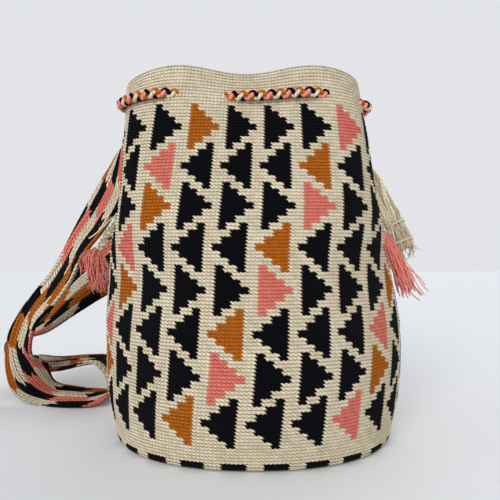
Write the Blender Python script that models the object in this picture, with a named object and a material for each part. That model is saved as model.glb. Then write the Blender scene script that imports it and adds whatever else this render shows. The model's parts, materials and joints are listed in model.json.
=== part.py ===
"""A crocheted bucket bag with a drawstring mouth, a woven shoulder strap and yarn tassels.

It stands on its base at the origin, with its front towards -Y. A place on its wall is given in
crochet terms: the round, counted down from the rim, and the stitch, counted from the middle of the
front towards +X. All lengths are in metres.
"""

import functools
import math

import bmesh
import bpy
import numpy as np
from mathutils import Vector

# Crochet
HEIGHT = 0.300
STITCHES = 240
ROUNDS = 115
WALL = 0.0035
RIDGE = 0.0005
ROUNDS_PER_RIDGE = 5
COLUMNS = 52
BASE_LIFT = 0.004
BASE_INSET = 0.007
PLAN_POINTS = 960
# Rounds at which the inside of the wall has a ring of its own; its outside has two for each ridge
INNER_ROUNDS = (0, 4, 8, 12, 20, 30, 42, 54, 66, 78, 90, 100, 108)

# Plan of the bag at seven rounds: its width, its front and back measured from the axis, how square
# it is (2 is an ellipse), and how far its middle lies to the right of the axis
MOUTH_WIDTH = 0.197
MOUTH_FRONT = 0.069
MOUTH_BACK = 0.093
COLLAR_WIDTH = 0.2044
COLLAR_FRONT = 0.080
COLLAR_BACK = 0.100
SHOULDER_WIDTH = 0.2156
SHOULDER_FRONT = 0.092
SHOULDER_BACK = 0.110
WAIST_WIDTH = 0.2416
WAIST_FRONT = 0.107
WAIST_BACK = 0.120
BELLY_WIDTH = 0.2586
BELLY_FRONT = 0.120
BELLY_BACK = 0.123
HEEL_WIDTH = 0.2506
HEEL_FRONT = 0.124
HEEL_BACK = 0.120
BASE_WIDTH = 0.236
BASE_FRONT = 0.114
BASE_BACK = 0.112
PLANS = (
    (0, MOUTH_WIDTH, MOUTH_FRONT, MOUTH_BACK, 4.8, -0.006),
    (18, COLLAR_WIDTH, COLLAR_FRONT, COLLAR_BACK, 4.8, -0.0036),
    (36, SHOULDER_WIDTH, SHOULDER_FRONT, SHOULDER_BACK, 3.9, -0.0016),
    (54, WAIST_WIDTH, WAIST_FRONT, WAIST_BACK, 2.3, -0.001),
    (84, BELLY_WIDTH, BELLY_FRONT, BELLY_BACK, 1.95, 0.003),
    (104, HEEL_WIDTH, HEEL_FRONT, HEEL_BACK, 1.95, 0.003),
    (ROUNDS, BASE_WIDTH, BASE_FRONT, BASE_BACK, 2.2, 0.003),
)

# Waves that the drawstring and the weight of the strap leave in the mouth
RIM_WAVE = 0.0035
RIM_WAVE_ROUNDS = 24
GATHER = 0.002
GATHER_ROUNDS = 30
BACK_FOLD = 0.007
BACK_FOLD_ROUNDS = 60
BACK_FOLD_STITCHES = 22
BACK_FOLD_REACH = 28
WAVE_STITCHES = 40
GATHER_STITCH = 9

# Drawstring
CORD_RADIUS = 0.003
CORD_ROUND = 8
CORD_CLEARANCE = 0.001
HOLE_CLEARANCE = 0.0006
HOLES = (-4.4, 22.6, 37, 63, 77, 103, 117, 143, 157, 183, 197, 220.3)
# Stitches on each side of a hole over which the cord crosses the wall, and its points there
CROSSING = 5
CROSSING_POINTS = (-4.5, -1.5, 1.5, 4.5)
LONG_STRETCH = 20
KNOT_STITCH = 130
KNOT_RADIUS = 0.0085
KNOT_ROOM = 3
TAIL_LENGTH = 0.060
TAIL_SPREAD = 0.009
TAIL_STEPS = ((0.002, 0), (0.012, 0.001), (0.026, 0.003), (0.042, 0.006))
END_KNOT_RADIUS = 0.0048

# Shoulder strap
STRAP_WIDTH = 0.078
STRAP_THICKNESS = 0.0036
STRAP_RIBS = 6
STRAP_RIB_DEPTH = 0.0005
STRAP_STEP = 0.025
SEAM_TOP_ROUND = 18
SEAM_LENGTH = 0.074
LEFT_SEAM_STITCH = -75
RIGHT_SEAM_STITCH = 78
CREASE_PLACE = 0.014
CREASE_SPREAD = 0.009
SEAM_SECTIONS = 5
FOLD_CLEARANCE = 0.0028
LAYERS_APART = STRAP_THICKNESS + FOLD_CLEARANCE
# The fold over the right seam: how far down the seam, how far out and how tilted the faces are
FOLD_STEPS = (
    (0.26, LAYERS_APART, 0),
    (0.10, LAYERS_APART, 0.15),
    (-0.03, LAYERS_APART * 0.9, 0.7),
    (-0.075, LAYERS_APART / 2, math.pi / 2),
    (-0.04, LAYERS_APART * 0.1, 2.4),
)
GAP = 0.0003
SEAM_CLEARANCE = 0.0008
YARN_CLEARANCE = 0.0006

# Yarn
SEAM_YARN_RADIUS = 0.0008
WHIP_STITCHES = 6
WHIP_BITE = 0.004
WHIP_START = 0.006
WHIP_END = 0.008
WHIP_SHARE = 0.84
ROPE_RADIUS = 0.0038
LEFT_BRAID_RADIUS = 0.0036
LOOSE_YARN_RADIUS = 0.0007
WRAP_YARN_RADIUS = 0.0008
FRINGE_TOP_RADIUS = 0.0032
FRINGE_FLATNESS = 0.55
FRINGE_LOBES = 9
FRINGE_FURROW = 0.82
LEFT_TASSEL_HEIGHT = 0.184
LEFT_TASSEL_STITCH = -57.5
LOOSE_YARN_HEIGHT = 0.1925
LOOSE_YARN_STITCH = -59
RIGHT_ROPE_STITCH = 60
FRONT_ROPE_HEIGHT = 0.2185
REAR_ROPE_HEIGHT = 0.2345
RIGHT_FRINGE_HEIGHT = 0.177
RIGHT_FRINGE_STITCH = 58
WRAP_POINTS = 16

CREAM = (0.80, 0.74, 0.60)
BLACK = (0.05, 0.055, 0.07)
CORAL = (0.90, 0.47, 0.41)
MUSTARD = (0.72, 0.41, 0.11)


def clear_scene():
    for old in list(bpy.data.objects):
        bpy.data.objects.remove(old, do_unlink=True)


def new_collection(name):
    made = bpy.data.collections.new(name)
    bpy.context.scene.collection.children.link(made)
    return made


def linear(colour):
    return [c / 12.92 if c <= 0.04045 else ((c + 0.055) / 1.055) ** 2.4 for c in colour]


def finish(name, mesh_or_curve, colour, collection, roughness=0.9):
    """A new object of that data, with its own material."""
    made = bpy.data.objects.new(name, mesh_or_curve)
    collection.objects.link(made)
    material = bpy.data.materials.new(name)
    material.use_nodes = True
    shader = material.node_tree.nodes["Principled BSDF"]
    shader.inputs["Base Color"].default_value = (*linear(colour), 1)
    shader.inputs["Roughness"].default_value = roughness
    shader.inputs["Metallic"].default_value = 0
    made.data.materials.append(material)
    material.diffuse_color = (*linear(colour), 1)
    return made


def smooth_curve(knots, values, at):
    """Values between the knots, along a cubic that passes through each of them."""
    knots, values = np.array(knots, float), np.array(values, float)
    slopes = np.gradient(values, knots, axis=0)
    i = np.clip(np.searchsorted(knots, at, side="right") - 1, 0, len(knots) - 2)
    span = knots[i + 1] - knots[i]
    t = (np.array(at, float) - knots[i]) / span
    if values.ndim > 1:
        t, span = t[:, None], span[:, None]
    rise = t * t * (3 - 2 * t)
    return (
        values[i] * (1 - rise)
        + values[i + 1] * rise
        + span * slopes[i] * t * (1 - t) ** 2
        - span * slopes[i + 1] * t * t * (1 - t)
    )


# The wall


def fade(round_number, rounds):
    return max(0.0, 1 - round_number / rounds) ** 2


@functools.lru_cache(maxsize=None)
def plan_at(round_number):
    """The plan of one round: its points, outward normals and the stitch at each, all the way round."""
    rounds = [p[0] for p in PLANS]
    width, front, back, square, shift = (
        float(smooth_curve(rounds, [p[k] for p in PLANS], round_number)) for k in range(1, 6)
    )
    turn = np.linspace(0, 2 * math.pi, PLAN_POINTS + 1)
    s, c = np.sin(turn), np.cos(turn)
    x = shift + width / 2 * np.sign(s) * np.abs(s) ** (2 / square)
    y = (back - front) / 2 - (back + front) / 2 * np.sign(c) * np.abs(c) ** (2 / square)
    for waving in (True, False):
        along = np.concatenate([[0], np.cumsum(np.hypot(np.diff(x), np.diff(y)))])
        stitch = along / along[-1] * STITCHES
        dx, dy = np.gradient(x, along), np.gradient(y, along)
        dx[0] = dx[-1] = (x[1] - x[-2]) / (along[1] + along[-1] - along[-2])
        dy[0] = dy[-1] = (y[1] - y[-2]) / (along[1] + along[-1] - along[-2])
        size = np.hypot(dx, dy)
        normal = np.stack([dy / size, -dx / size], axis=1)
        if waving:
            from_back = np.abs(stitch - STITCHES / 2)
            reach = np.minimum(from_back / BACK_FOLD_REACH, 1)
            mask = np.cos(reach * math.pi / 2) ** 2
            fold = BACK_FOLD * fade(round_number, BACK_FOLD_ROUNDS) * mask
            out = fold * np.cos(2 * math.pi * from_back / BACK_FOLD_STITCHES)
            gather = GATHER * fade(round_number, GATHER_ROUNDS)
            out = out - gather * np.cos(2 * math.pi * (stitch - GATHER_STITCH) / WAVE_STITCHES)
            x, y = x + normal[:, 0] * out, y + normal[:, 1] * out
    return np.stack([x, y], axis=1), normal, stitch, along[-1] / STITCHES


def stitch_width(round_number):
    return plan_at(round_number)[3]


def round_at(height):
    return ROUNDS * (1 - (height - BASE_LIFT) / (HEIGHT - BASE_LIFT))


def wall_point(round_number, stitch, out=0.0):
    """The outside of the wall at a round and a stitch, or a point that far out from it."""
    points, normals, stitches, _ = plan_at(round_number)
    at = stitch % STITCHES
    place = [np.interp(at, stitches, points[:, k]) for k in range(2)]
    normal = Vector([np.interp(at, stitches, normals[:, k]) for k in range(2)] + [0]).normalized()
    height = BASE_LIFT + (HEIGHT - BASE_LIFT) * (1 - round_number / ROUNDS)
    wave = RIM_WAVE * fade(round_number, RIM_WAVE_ROUNDS)
    height += wave * math.cos(2 * math.pi * (at + WAVE_STITCHES / 2) / WAVE_STITCHES)
    return Vector((*place, height)) + normal * out


def ring(round_number, out):
    return [wall_point(round_number, i * STITCHES / COLUMNS, out) for i in range(COLUMNS)]


def flat_ring(points, height, inset):
    """A level ring inside another one."""
    middle = sum(points, Vector()) / len(points)
    made = []
    for p in points:
        inward = Vector((middle.x - p.x, middle.y - p.y, 0))
        made.append(Vector((p.x, p.y, height)) + inward.normalized() * inset)
    return made


def mesh_from_rings(name, rings, first_cap=True, last_cap=True):
    """A closed mesh lofted through rings of as many points each, with flat caps."""
    built = bmesh.new()
    rows = [[built.verts.new(p) for p in points] for points in rings]
    count = len(rows[0])
    for lower, upper in zip(rows, rows[1:]):
        for i in range(count):
            j = (i + 1) % count
            built.faces.new((lower[i], lower[j], upper[j], upper[i]))
    if first_cap:
        built.faces.new(rows[0][::-1])
    if last_cap:
        built.faces.new(rows[-1])
    bmesh.ops.recalc_face_normals(built, faces=built.faces)
    mesh = bpy.data.meshes.new(name)
    built.to_mesh(mesh)
    built.free()
    return mesh


def bag_mesh():
    """The crocheted shell: from the middle of the floor inside, over the rim, and down to the base."""
    inner = [ring(r, -WALL) for r in INNER_ROUNDS]
    floor_edge = flat_ring(ring(ROUNDS, -WALL), WALL, BASE_INSET)
    step = ROUNDS_PER_RIDGE / 2
    outer = [
        ring(min(i * step, ROUNDS), RIDGE if i % 2 else 0)
        for i in range(math.ceil(ROUNDS / step))
    ]
    heel = ring(ROUNDS, 0)
    base_edge = flat_ring(heel, 0, BASE_INSET)
    return mesh_from_rings("bag_body", [floor_edge, *inner[::-1], *outer, heel, base_edge])


# Tubes and boolean work


def tube_curve(name, points, radius, resolution=2, closed=False):
    curve = bpy.data.curves.new(name, "CURVE")
    curve.dimensions = "3D"
    spline = curve.splines.new("POLY")
    spline.points.add(len(points) - 1)
    for made, p in zip(spline.points, points):
        made.co = (*p, 1)
    spline.use_cyclic_u = closed
    curve.bevel_depth = radius
    curve.bevel_resolution = resolution
    curve.use_fill_caps = not closed
    return curve


def mesh_of(curve, name):
    """The mesh of a tube, closed at its caps."""
    holder = bpy.data.objects.new(name, curve)
    bpy.context.scene.collection.objects.link(holder)
    evaluated = holder.evaluated_get(bpy.context.evaluated_depsgraph_get())
    mesh = bpy.data.meshes.new_from_object(evaluated)
    mesh.name = name
    bpy.data.objects.remove(holder, do_unlink=True)
    welded = bmesh.new()
    welded.from_mesh(mesh)
    bmesh.ops.remove_doubles(welded, verts=welded.verts, dist=0.00001)
    bmesh.ops.recalc_face_normals(welded, faces=welded.faces)
    welded.to_mesh(mesh)
    welded.free()
    return mesh


def combine(target, other, operation):
    modifier = target.modifiers.new(other.name, "BOOLEAN")
    modifier.operation = operation
    modifier.object = other
    modifier.solver = "EXACT"
    modifier.use_self = operation == "UNION"


def guide(name, mesh, collection):
    made = bpy.data.objects.new(name, mesh)
    collection.objects.link(made)
    made.hide_render = True
    made.display_type = "WIRE"
    return made


def ball(name, centre, radius, collection):
    mesh = bpy.data.meshes.new(name)
    built = bmesh.new()
    bmesh.ops.create_icosphere(built, subdivisions=2, radius=radius)
    bmesh.ops.translate(built, verts=built.verts, vec=centre)
    built.to_mesh(mesh)
    built.free()
    return guide(name, mesh, collection)


# Drawstring


def cord_side(stitch):
    """1 where the cord runs outside the wall, -1 inside, and between them at a hole."""
    turned = STITCHES / 2
    offsets = [(stitch - hole + turned) % STITCHES - turned for hole in HOLES]
    nearest = min(range(len(HOLES)), key=lambda k: abs(offsets[k]))
    share = math.sin(max(-1, min(1, offsets[nearest] / CROSSING)) * math.pi / 2)
    return -share if nearest % 2 else share


def cord_point(stitch):
    reach = WALL / 2 + RIDGE + CORD_RADIUS + CORD_CLEARANCE
    return wall_point(CORD_ROUND, stitch, cord_side(stitch) * reach - WALL / 2)


def cord_route():
    """From one hanging end, through the knot, round the mouth, and through the knot to the other end."""
    stitches = []
    for k in range(len(HOLES)):
        hole, following = HOLES[k], HOLES[(k + 1) % len(HOLES)]
        span = (following - hole) % STITCHES
        stitches += [hole + step for step in CROSSING_POINTS]
        first, last = hole + CROSSING_POINTS[-1], hole + span + CROSSING_POINTS[0]
        count = 3 if span > LONG_STRETCH else 1
        stitches += [first + (last - first) * (m + 1) / (count + 1) for m in range(count)]
    from_knot = sorted((s - KNOT_STITCH) % STITCHES for s in stitches)
    loop = [cord_point(KNOT_STITCH + s) for s in from_knot if KNOT_ROOM < s < STITCHES - KNOT_ROOM]
    knot = wall_point(CORD_ROUND, KNOT_STITCH, RIDGE + CORD_CLEARANCE + KNOT_RADIUS)
    ends = []
    for side in (1, -1):
        tail = []
        for drop, aside in (*TAIL_STEPS, (TAIL_LENGTH, TAIL_SPREAD)):
            round_number = CORD_ROUND + drop / (HEIGHT - BASE_LIFT) * ROUNDS
            away = side * (CORD_RADIUS + GAP + aside) / stitch_width(round_number)
            out = RIDGE + KNOT_RADIUS + (END_KNOT_RADIUS - KNOT_RADIUS) * drop / TAIL_LENGTH
            tail.append(wall_point(round_number, KNOT_STITCH + away, out + 2 * GAP))
        ends.append(tail)
    return ends[0][::-1] + loop + ends[1], knot


def add_drawstring(parts, guides):
    route, knot = cord_route()
    mesh = mesh_of(tube_curve("drawstring_tube", route, CORD_RADIUS), "drawstring")
    cord = finish("drawstring", mesh, MUSTARD, parts, 0.85)
    combine(cord, ball("drawstring_knot", knot, KNOT_RADIUS, guides), "UNION")
    for side, end in (("first", route[0]), ("second", route[-1])):
        combine(cord, ball(f"drawstring_end_{side}", end, END_KNOT_RADIUS, guides), "UNION")
    tail = len(TAIL_STEPS) + 1
    room = tube_curve("drawstring_room", route[tail:-tail], CORD_RADIUS + HOLE_CLEARANCE)
    return cord, guide("drawstring_room", mesh_of(room, "drawstring_room"), guides)


# Strap


def strap_reach():
    return RIDGE + SEAM_CLEARANCE + STRAP_THICKNESS / 2


def seam_centre(stitch, share):
    """The strap's middle line on the wall: share 0 is the seam's top, 1 its foot."""
    foot = SEAM_TOP_ROUND + SEAM_LENGTH / (HEIGHT - BASE_LIFT) * ROUNDS
    return SEAM_TOP_ROUND + (foot - SEAM_TOP_ROUND) * share, stitch


def strap_route():
    """The strap's free run: places, directions across it, crease heights and how wide it lies.

    It turns over at the left seam's top and falls to the left, turns flat on its side where it meets
    the table, rolls over beside the bag, doubles back over itself, climbs behind the bag and turns
    over into the right seam. It lies folded lengthwise, and so narrower, where it turns.
    """
    left = wall_point(*seam_centre(LEFT_SEAM_STITCH, 0), strap_reach())
    right = wall_point(*seam_centre(RIGHT_SEAM_STITCH, 0), strap_reach())
    foot = Vector((-BELLY_WIDTH / 2, 0, 0))
    back = Vector((0, BELLY_BACK, 0))
    steps = [
        (left, (-0.0060, 0, 0.0105), (-0.05, 1, 0.08), 0, 1),
        (left, (-0.0130, -0.0005, 0.0135), (-0.2, 0.97, 0.15), 0, 1),
        (left, (-0.0188, -0.0008, 0.0030), (-0.25, 0.95, 0.17), 0, 1),
        (left, (-0.0228, -0.0006, -0.0116), (-0.36, 0.91, 0.20), 0.001, 1),
        (left, (-0.0313, -0.0006, -0.0367), (-0.48, 0.84, 0.26), 0.002, 1),
        (left, (-0.0448, -0.0001, -0.0613), (-0.45, 0.83, 0.31), 0.003, 1),
        (left, (-0.0617, 0.0026, -0.0855), (-0.35, 0.86, 0.36), 0.004, 1),
        (foot, (-0.0544, 0.0621, 0.1435), (-0.33, 0.85, 0.41), 0.005, 1),
        (foot, (-0.0705, 0.0676, 0.1210), (-0.28, 0.85, 0.43), 0.006, 0.97),
        (foot, (-0.0886, 0.0723, 0.1009), (-0.29, 0.86, 0.41), 0.006, 0.92),
        (foot, (-0.1020, 0.0780, 0.0787), (-0.46, 0.78, 0.40), 0.006, 0.84),
        (foot, (-0.1105, 0.0860, 0.0560), (-0.70, 0.60, 0.25), 0.005, 0.72),
        (foot, (-0.1080, 0.0905, 0.0370), (-0.90, 0.28, 0.02), 0.004, 0.64),
        (foot, (-0.0985, 0.0875, 0.0215), (-0.88, -0.35, -0.16), 0.003, 0.54),
        (foot, (-0.0840, 0.0890, 0.0100), (-0.58, -0.80, -0.10), 0.002, 0.52),
        (foot, (-0.0560, 0.0910, 0.0052), (-0.25, -0.96, -0.05), 0.001, 0.78),
        (foot, (-0.0330, 0.0970, 0.0045), (-0.1, -0.99, -0.03), 0, 0.9),
        (foot, (-0.0190, 0.1000, 0.0085), (-0.05, -1, 0), 0, 0.95),
        (foot, (-0.0130, 0.1030, 0.0235), (-0.05, -1, 0.06), 0, 1),
        (foot, (-0.0220, 0.1060, 0.0365), (-0.08, -0.98, 0.13), 0, 1),
        (foot, (-0.0470, 0.1150, 0.0365), (-0.13, -0.98, 0), 0, 0.95),
        (foot, (-0.0740, 0.1390, 0.0315), (-0.16, -0.97, -0.12), 0, 0.64),
        (foot, (-0.1010, 0.1500, 0.0275), (-0.20, -0.95, -0.16), 0, 0.64),
        (foot, (-0.1290, 0.1540, 0.0320), (-0.20, -0.97, -0.10), 0, 0.72),
        (foot, (-0.1410, 0.1610, 0.0440), (-0.15, -0.98, 0), 0, 0.70),
        (foot, (-0.1330, 0.1650, 0.0570), (-0.05, -0.98, -0.15), 0.001, 0.71),
        (foot, (-0.1100, 0.1640, 0.0755), (0.08, -0.85, -0.45), 0.001, 0.79),
        (foot, (-0.0850, 0.1640, 0.1015), (0.20, -0.70, -0.66), 0.002, 0.86),
        (foot, (-0.0580, 0.1660, 0.1255), (0.30, -0.62, -0.72), 0.003, 0.92),
        (foot, (-0.0290, 0.1670, 0.1455), (0.30, -0.52, -0.76), 0.003, 0.95),
        (foot, (0.0100, 0.1620, 0.1590), (0.15, -0.35, -0.90), 0.003, 1),
        (back, (-0.075, 0.037, 0.164), (0, -0.20, -0.97), 0.003, 1),
        (back, (-0.040, 0.042, 0.164), (0, 0.30, -0.95), 0.002, 1),
        (back, (-0.008, 0.0455, 0.163), (0, 0.85, -0.50), 0, 1),
        (back, (0.024, 0.0460, 0.164), (0, 0.97, 0.20), 0, 1),
        (back, (0.056, 0.038, 0.170), (-0.05, 0.65, 0.75), 0, 1),
        (right, (-0.005, 0.069, -0.084), (-0.1, 0.50, 0.86), 0, 1),
        (right, (0.0075, 0.044, -0.077), (-0.1, 0.64, 0.76), 0, 1),
        (right, (0.0175, 0.020, -0.061), (-0.16, 0.84, 0.5), 0, 1),
        (right, (0.0130, 0.004, -0.040), (-0.16, 0.95, 0.2), 0, 1),
    ]
    places = [start + Vector(step[0]) for start, *step in steps]
    widths, creases, shares = ([step[k] for step in steps] for k in (2, 3, 4))
    first_fold, _ = seam_centre(RIGHT_SEAM_STITCH, FOLD_STEPS[0][0])
    last = wall_point(first_fold, RIGHT_SEAM_STITCH, strap_reach() + FOLD_STEPS[0][1])
    return [left, *places, last], widths, creases, shares


def across():
    """Places across the strap: how far from its middle, and how far its faces sink there."""
    count = 2 * STRAP_RIBS + 1
    return [
        (STRAP_WIDTH * (i / (count - 1) - 0.5), 0 if i % 2 else STRAP_RIB_DEPTH) for i in range(count)
    ]


def seam_section(stitch, share, turned):
    """The strap's outline where it lies on the wall, first its one face, then the other one."""
    round_number, _ = seam_centre(stitch, share)
    width = stitch_width(round_number)
    faces = ([], [])
    for q, sink in across():
        at = stitch + (q if turned else -q) / width
        half = STRAP_THICKNESS / 2 - sink
        for face, side in zip(faces, (-1, 1)):
            face.append(wall_point(round_number, at, strap_reach() + side * half))
    return faces[0] + faces[1][::-1]


def free_section(place, ahead, width_way, crease, share):
    ahead = Vector(ahead).normalized()
    wide = Vector(width_way)
    wide = (wide - ahead * wide.dot(ahead)).normalized()
    normal = wide.cross(ahead)
    faces = ([], [])
    for q, sink in across():
        lift = crease * math.exp(-(((q - CREASE_PLACE) / CREASE_SPREAD) ** 2))
        half = STRAP_THICKNESS / 2 - sink
        for face, side in zip(faces, (1, -1)):
            face.append(Vector(place) + wide * q * share + normal * (lift + side * half))
    return faces[0] + faces[1][::-1]


def fold_section(stitch, share, out, tilt):
    """The strap's outline where it turns over above the seam, its faces tilted from the wall's."""
    round_number, _ = seam_centre(stitch, share)
    width = stitch_width(round_number)
    up = Vector((0, 0, math.sin(tilt)))
    faces = ([], [])
    for q, sink in across():
        at = stitch + q / width
        middle = wall_point(round_number, at, strap_reach() + out)
        outward = (middle - wall_point(round_number, at)).normalized()
        way = (outward * math.cos(tilt) + up) * (STRAP_THICKNESS / 2 - sink)
        for face, side in zip(faces, (1, -1)):
            face.append(middle + way * side)
    return faces[0] + faces[1][::-1]


def free_sections():
    places, widths, creases, shares = strap_route()
    widths = [widths[0], *widths, widths[-1]]
    creases = [0, *creases, 0]
    shares = [1, *shares, 1]
    points = np.array([tuple(p) for p in places])
    along = np.concatenate([[0], np.cumsum(np.linalg.norm(np.diff(points, axis=0), axis=1))])
    stops = []
    for a, b in zip(along, along[1:]):
        parts = max(1, round((b - a) / STRAP_STEP))
        stops += [a + (b - a) * k / parts for k in range(parts)]
    stops = np.array(stops[1:])
    line = smooth_curve(along, points, stops)
    ahead = smooth_curve(along, points, stops + GAP) - smooth_curve(along, points, stops - GAP)
    across_way = smooth_curve(along, np.array(widths, float), stops)
    crease = np.maximum(smooth_curve(along, creases, stops), 0)
    share = smooth_curve(along, shares, stops)
    sections = []
    for values in zip(line, ahead, across_way, crease, share):
        section = free_section(*values)
        sunk = min(v.z for v in section) - GAP
        if sunk < 0:
            section = [v + Vector((0, 0, -sunk)) for v in section]
        sections.append(section)
    return sections


def add_strap(parts):
    shares = [k / (SEAM_SECTIONS - 1) for k in range(SEAM_SECTIONS)]
    left = [seam_section(LEFT_SEAM_STITCH, share, False) for share in shares[::-1]]
    right = [seam_section(RIGHT_SEAM_STITCH, share, True) for share in shares]
    fold = [fold_section(RIGHT_SEAM_STITCH, *step) for step in FOLD_STEPS]
    rings = left + free_sections() + fold + right
    mesh = mesh_from_rings("shoulder_strap", rings)
    return finish("shoulder_strap", mesh, BLACK, parts)


# Yarn at the seams


def seam_yarn_route(stitch, turned):
    """Whip stitches down the strap's rear edge, along its foot and up its front edge."""
    high = strap_reach() + STRAP_THICKNESS / 2 + YARN_CLEARANCE + SEAM_YARN_RADIUS
    low = RIDGE + GAP + SEAM_YARN_RADIUS
    clear = SEAM_YARN_RADIUS + YARN_CLEARANCE
    half = STRAP_WIDTH / 2
    foot = seam_centre(stitch, 1)[0]
    per_round = (HEIGHT - BASE_LIFT) / ROUNDS
    facing = 1 if turned else -1

    def at(side, down, out, height):
        """side -1 is the front edge and 1 the rear; down is metres below the seam's top."""
        round_number = SEAM_TOP_ROUND + down / per_round
        width = stitch_width(round_number)
        return wall_point(round_number, stitch + facing * side * (half + out) / width, height)

    def under(share, out, height):
        round_number = foot + out / per_round
        width = stitch_width(round_number)
        return wall_point(round_number, stitch + facing * share * half / width, height)

    def whip(place, start, step):
        """One side's stitches: over the strap, down beside it, into the wall and up again."""
        made = []
        for k in range(WHIP_STITCHES):
            first = start + step * k
            made.append(place(first, -WHIP_BITE, high))
            made.append(place(first + step / 4, clear, high))
            made.append(place(first + step / 2, clear + SEAM_YARN_RADIUS, low))
            made.append(place(first + step * 3 / 4, clear, high))
        return made

    pitch = (SEAM_LENGTH - WHIP_START - WHIP_END) / WHIP_STITCHES
    down_rear = whip(lambda *place: at(1, *place), WHIP_START, pitch)
    along_foot = whip(under, WHIP_SHARE, -2 * WHIP_SHARE / WHIP_STITCHES)
    up_front = whip(lambda *place: at(-1, *place), SEAM_LENGTH - WHIP_END, -pitch)
    return down_rear + along_foot + up_front


def add_seam_yarn(parts):
    for side, stitch, turned in (
        ("left", LEFT_SEAM_STITCH, False),
        ("right", RIGHT_SEAM_STITCH, True),
    ):
        name = f"seam_yarn_{side}"
        curve = tube_curve(name, seam_yarn_route(stitch, turned), SEAM_YARN_RADIUS, 0)
        finish(name, curve, CREAM, parts)


# Tassels


def fringe_mesh(name, route, radii):
    """A bundle of yarn ends fused in one tuft: a lobed ring at each point of the route."""
    rings = []
    count = FRINGE_LOBES * 2
    for k, (place, radius) in enumerate(zip(route, radii)):
        before, after = route[max(k - 1, 0)], route[min(k + 1, len(route) - 1)]
        ahead = (after - before).normalized()
        wide = Vector((0, 1, 0)).cross(ahead).normalized()
        deep = ahead.cross(wide)
        points = []
        for i in range(count):
            turn = 2 * math.pi * i / count
            reach = radius * (1 if i % 2 else FRINGE_FURROW)
            aside = wide * math.cos(turn) + deep * math.sin(turn) * FRINGE_FLATNESS
            points.append(place + aside * reach)
        rings.append(points)
    return mesh_from_rings(name, rings)


def add_left_tassel(parts):
    out = RIDGE + LEFT_BRAID_RADIUS - GAP
    start = wall_point(round_at(LEFT_TASSEL_HEIGHT), LEFT_TASSEL_STITCH, out)
    steps = ((0, 0, 0), (-0.007, -0.002, -0.007), (-0.015, -0.003, -0.016), (-0.021, -0.003, -0.024))
    route = [start + Vector(s) for s in steps]
    finish("tassel_braid_left", tube_curve("tassel_braid_left", route, LEFT_BRAID_RADIUS), CREAM, parts)
    below = (route[-1] - route[-2]).normalized()
    head = route[-1] + below * GAP
    turn = head + below * 0.006
    steps = ((0, 0, 0), (0.004, 0, -0.012), (0.008, 0.001, -0.024), (0.010, 0.001, -0.036))
    tuft = [head, *(turn + Vector(s) for s in steps)]
    radii = (FRINGE_TOP_RADIUS, 0.0055, 0.0075, 0.0088, 0.0080)
    mesh = fringe_mesh("tassel_fringe_left", tuft, radii)
    finish("tassel_fringe_left", mesh, CORAL, parts)
    out = RIDGE + LOOSE_YARN_RADIUS
    anchor = wall_point(round_at(LOOSE_YARN_HEIGHT), LOOSE_YARN_STITCH, out)
    steps = ((0, 0, 0), (-0.004, -0.005, -0.001), (-0.010, -0.009, -0.006), (-0.018, -0.010, -0.014))
    loose = [anchor + Vector(s) for s in (*steps, (-0.025, -0.009, -0.020), (-0.030, -0.008, -0.023))]
    finish("loose_yarn_left", tube_curve("loose_yarn_left", loose, LOOSE_YARN_RADIUS), CREAM, parts)


def rope_routes():
    """Two yarn ropes that leave the wall at the right seam's front edge and run side by side."""
    out = RIDGE + GAP + ROPE_RADIUS
    apart = 2 * ROPE_RADIUS + 2 * GAP
    start = wall_point(round_at(FRONT_ROPE_HEIGHT), RIGHT_ROPE_STITCH, out)
    steps = ((0, 0, 0), (0.0085, -0.002, -0.0175), (0.0175, -0.003, -0.0335), (0.025, -0.003, -0.0475))
    front = [start + Vector(s) for s in (*steps, (0.0298, -0.003, -0.0595))]
    rear = []
    for before, place, after in zip([front[0], *front], front, [*front[1:], front[-1]]):
        ahead = (after - before).normalized()
        rear.append(place + Vector((0, 1, 0)).cross(ahead).normalized() * -apart)
    rear.insert(0, wall_point(round_at(REAR_ROPE_HEIGHT), RIGHT_ROPE_STITCH, out - GAP))
    return front, rear


def wrap_route(front, rear, index, share):
    """A loop of yarn round both ropes, part of the way from one of their points to the next."""
    near = front[index].lerp(front[index + 1], share)
    far = rear[index + 1].lerp(rear[index + 2], share)
    ahead = (front[index + 1] - front[index]).normalized()
    over = far - near
    over = (over - ahead * over.dot(ahead)).normalized()
    aside = ahead.cross(over)
    half = (far - near).length / 2
    reach = ROPE_RADIUS + GAP + WRAP_YARN_RADIUS
    loop = []
    for i in range(WRAP_POINTS):
        turn = 2 * math.pi * (i + 0.5) / WRAP_POINTS
        end = math.copysign(half, math.cos(turn))
        along = over * (end + reach * math.cos(turn))
        loop.append((near + far) / 2 + along + aside * reach * math.sin(turn))
    return loop


def add_right_tassel(parts):
    front, rear = rope_routes()
    for name, route in (("tassel_rope_right_front", front), ("tassel_rope_right_rear", rear)):
        finish(name, tube_curve(name, route, ROPE_RADIUS), CREAM, parts)
    for name, index, share in (
        ("tassel_wrap_right_upper", 2, 0.3),
        ("tassel_wrap_right_lower", 3, 0.45),
    ):
        loop = wrap_route(front, rear, index, share)
        finish(name, tube_curve(name, loop, WRAP_YARN_RADIUS, 2, True), CREAM, parts)
    out = RIDGE + GAP + FRINGE_TOP_RADIUS
    start = wall_point(round_at(RIGHT_FRINGE_HEIGHT), RIGHT_FRINGE_STITCH, out)
    steps = ((0, 0, 0), (0.005, -0.005, -0.012), (0.010, -0.007, -0.026), (0.018, -0.007, -0.043))
    tuft = [start + Vector(s) for s in (*steps, (0.0275, -0.006, -0.060))]
    radii = (FRINGE_TOP_RADIUS, 0.0042, 0.0062, 0.0085, 0.0110)
    finish("tassel_fringe_right", fringe_mesh("tassel_fringe_right", tuft, radii), CORAL, parts)


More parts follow.
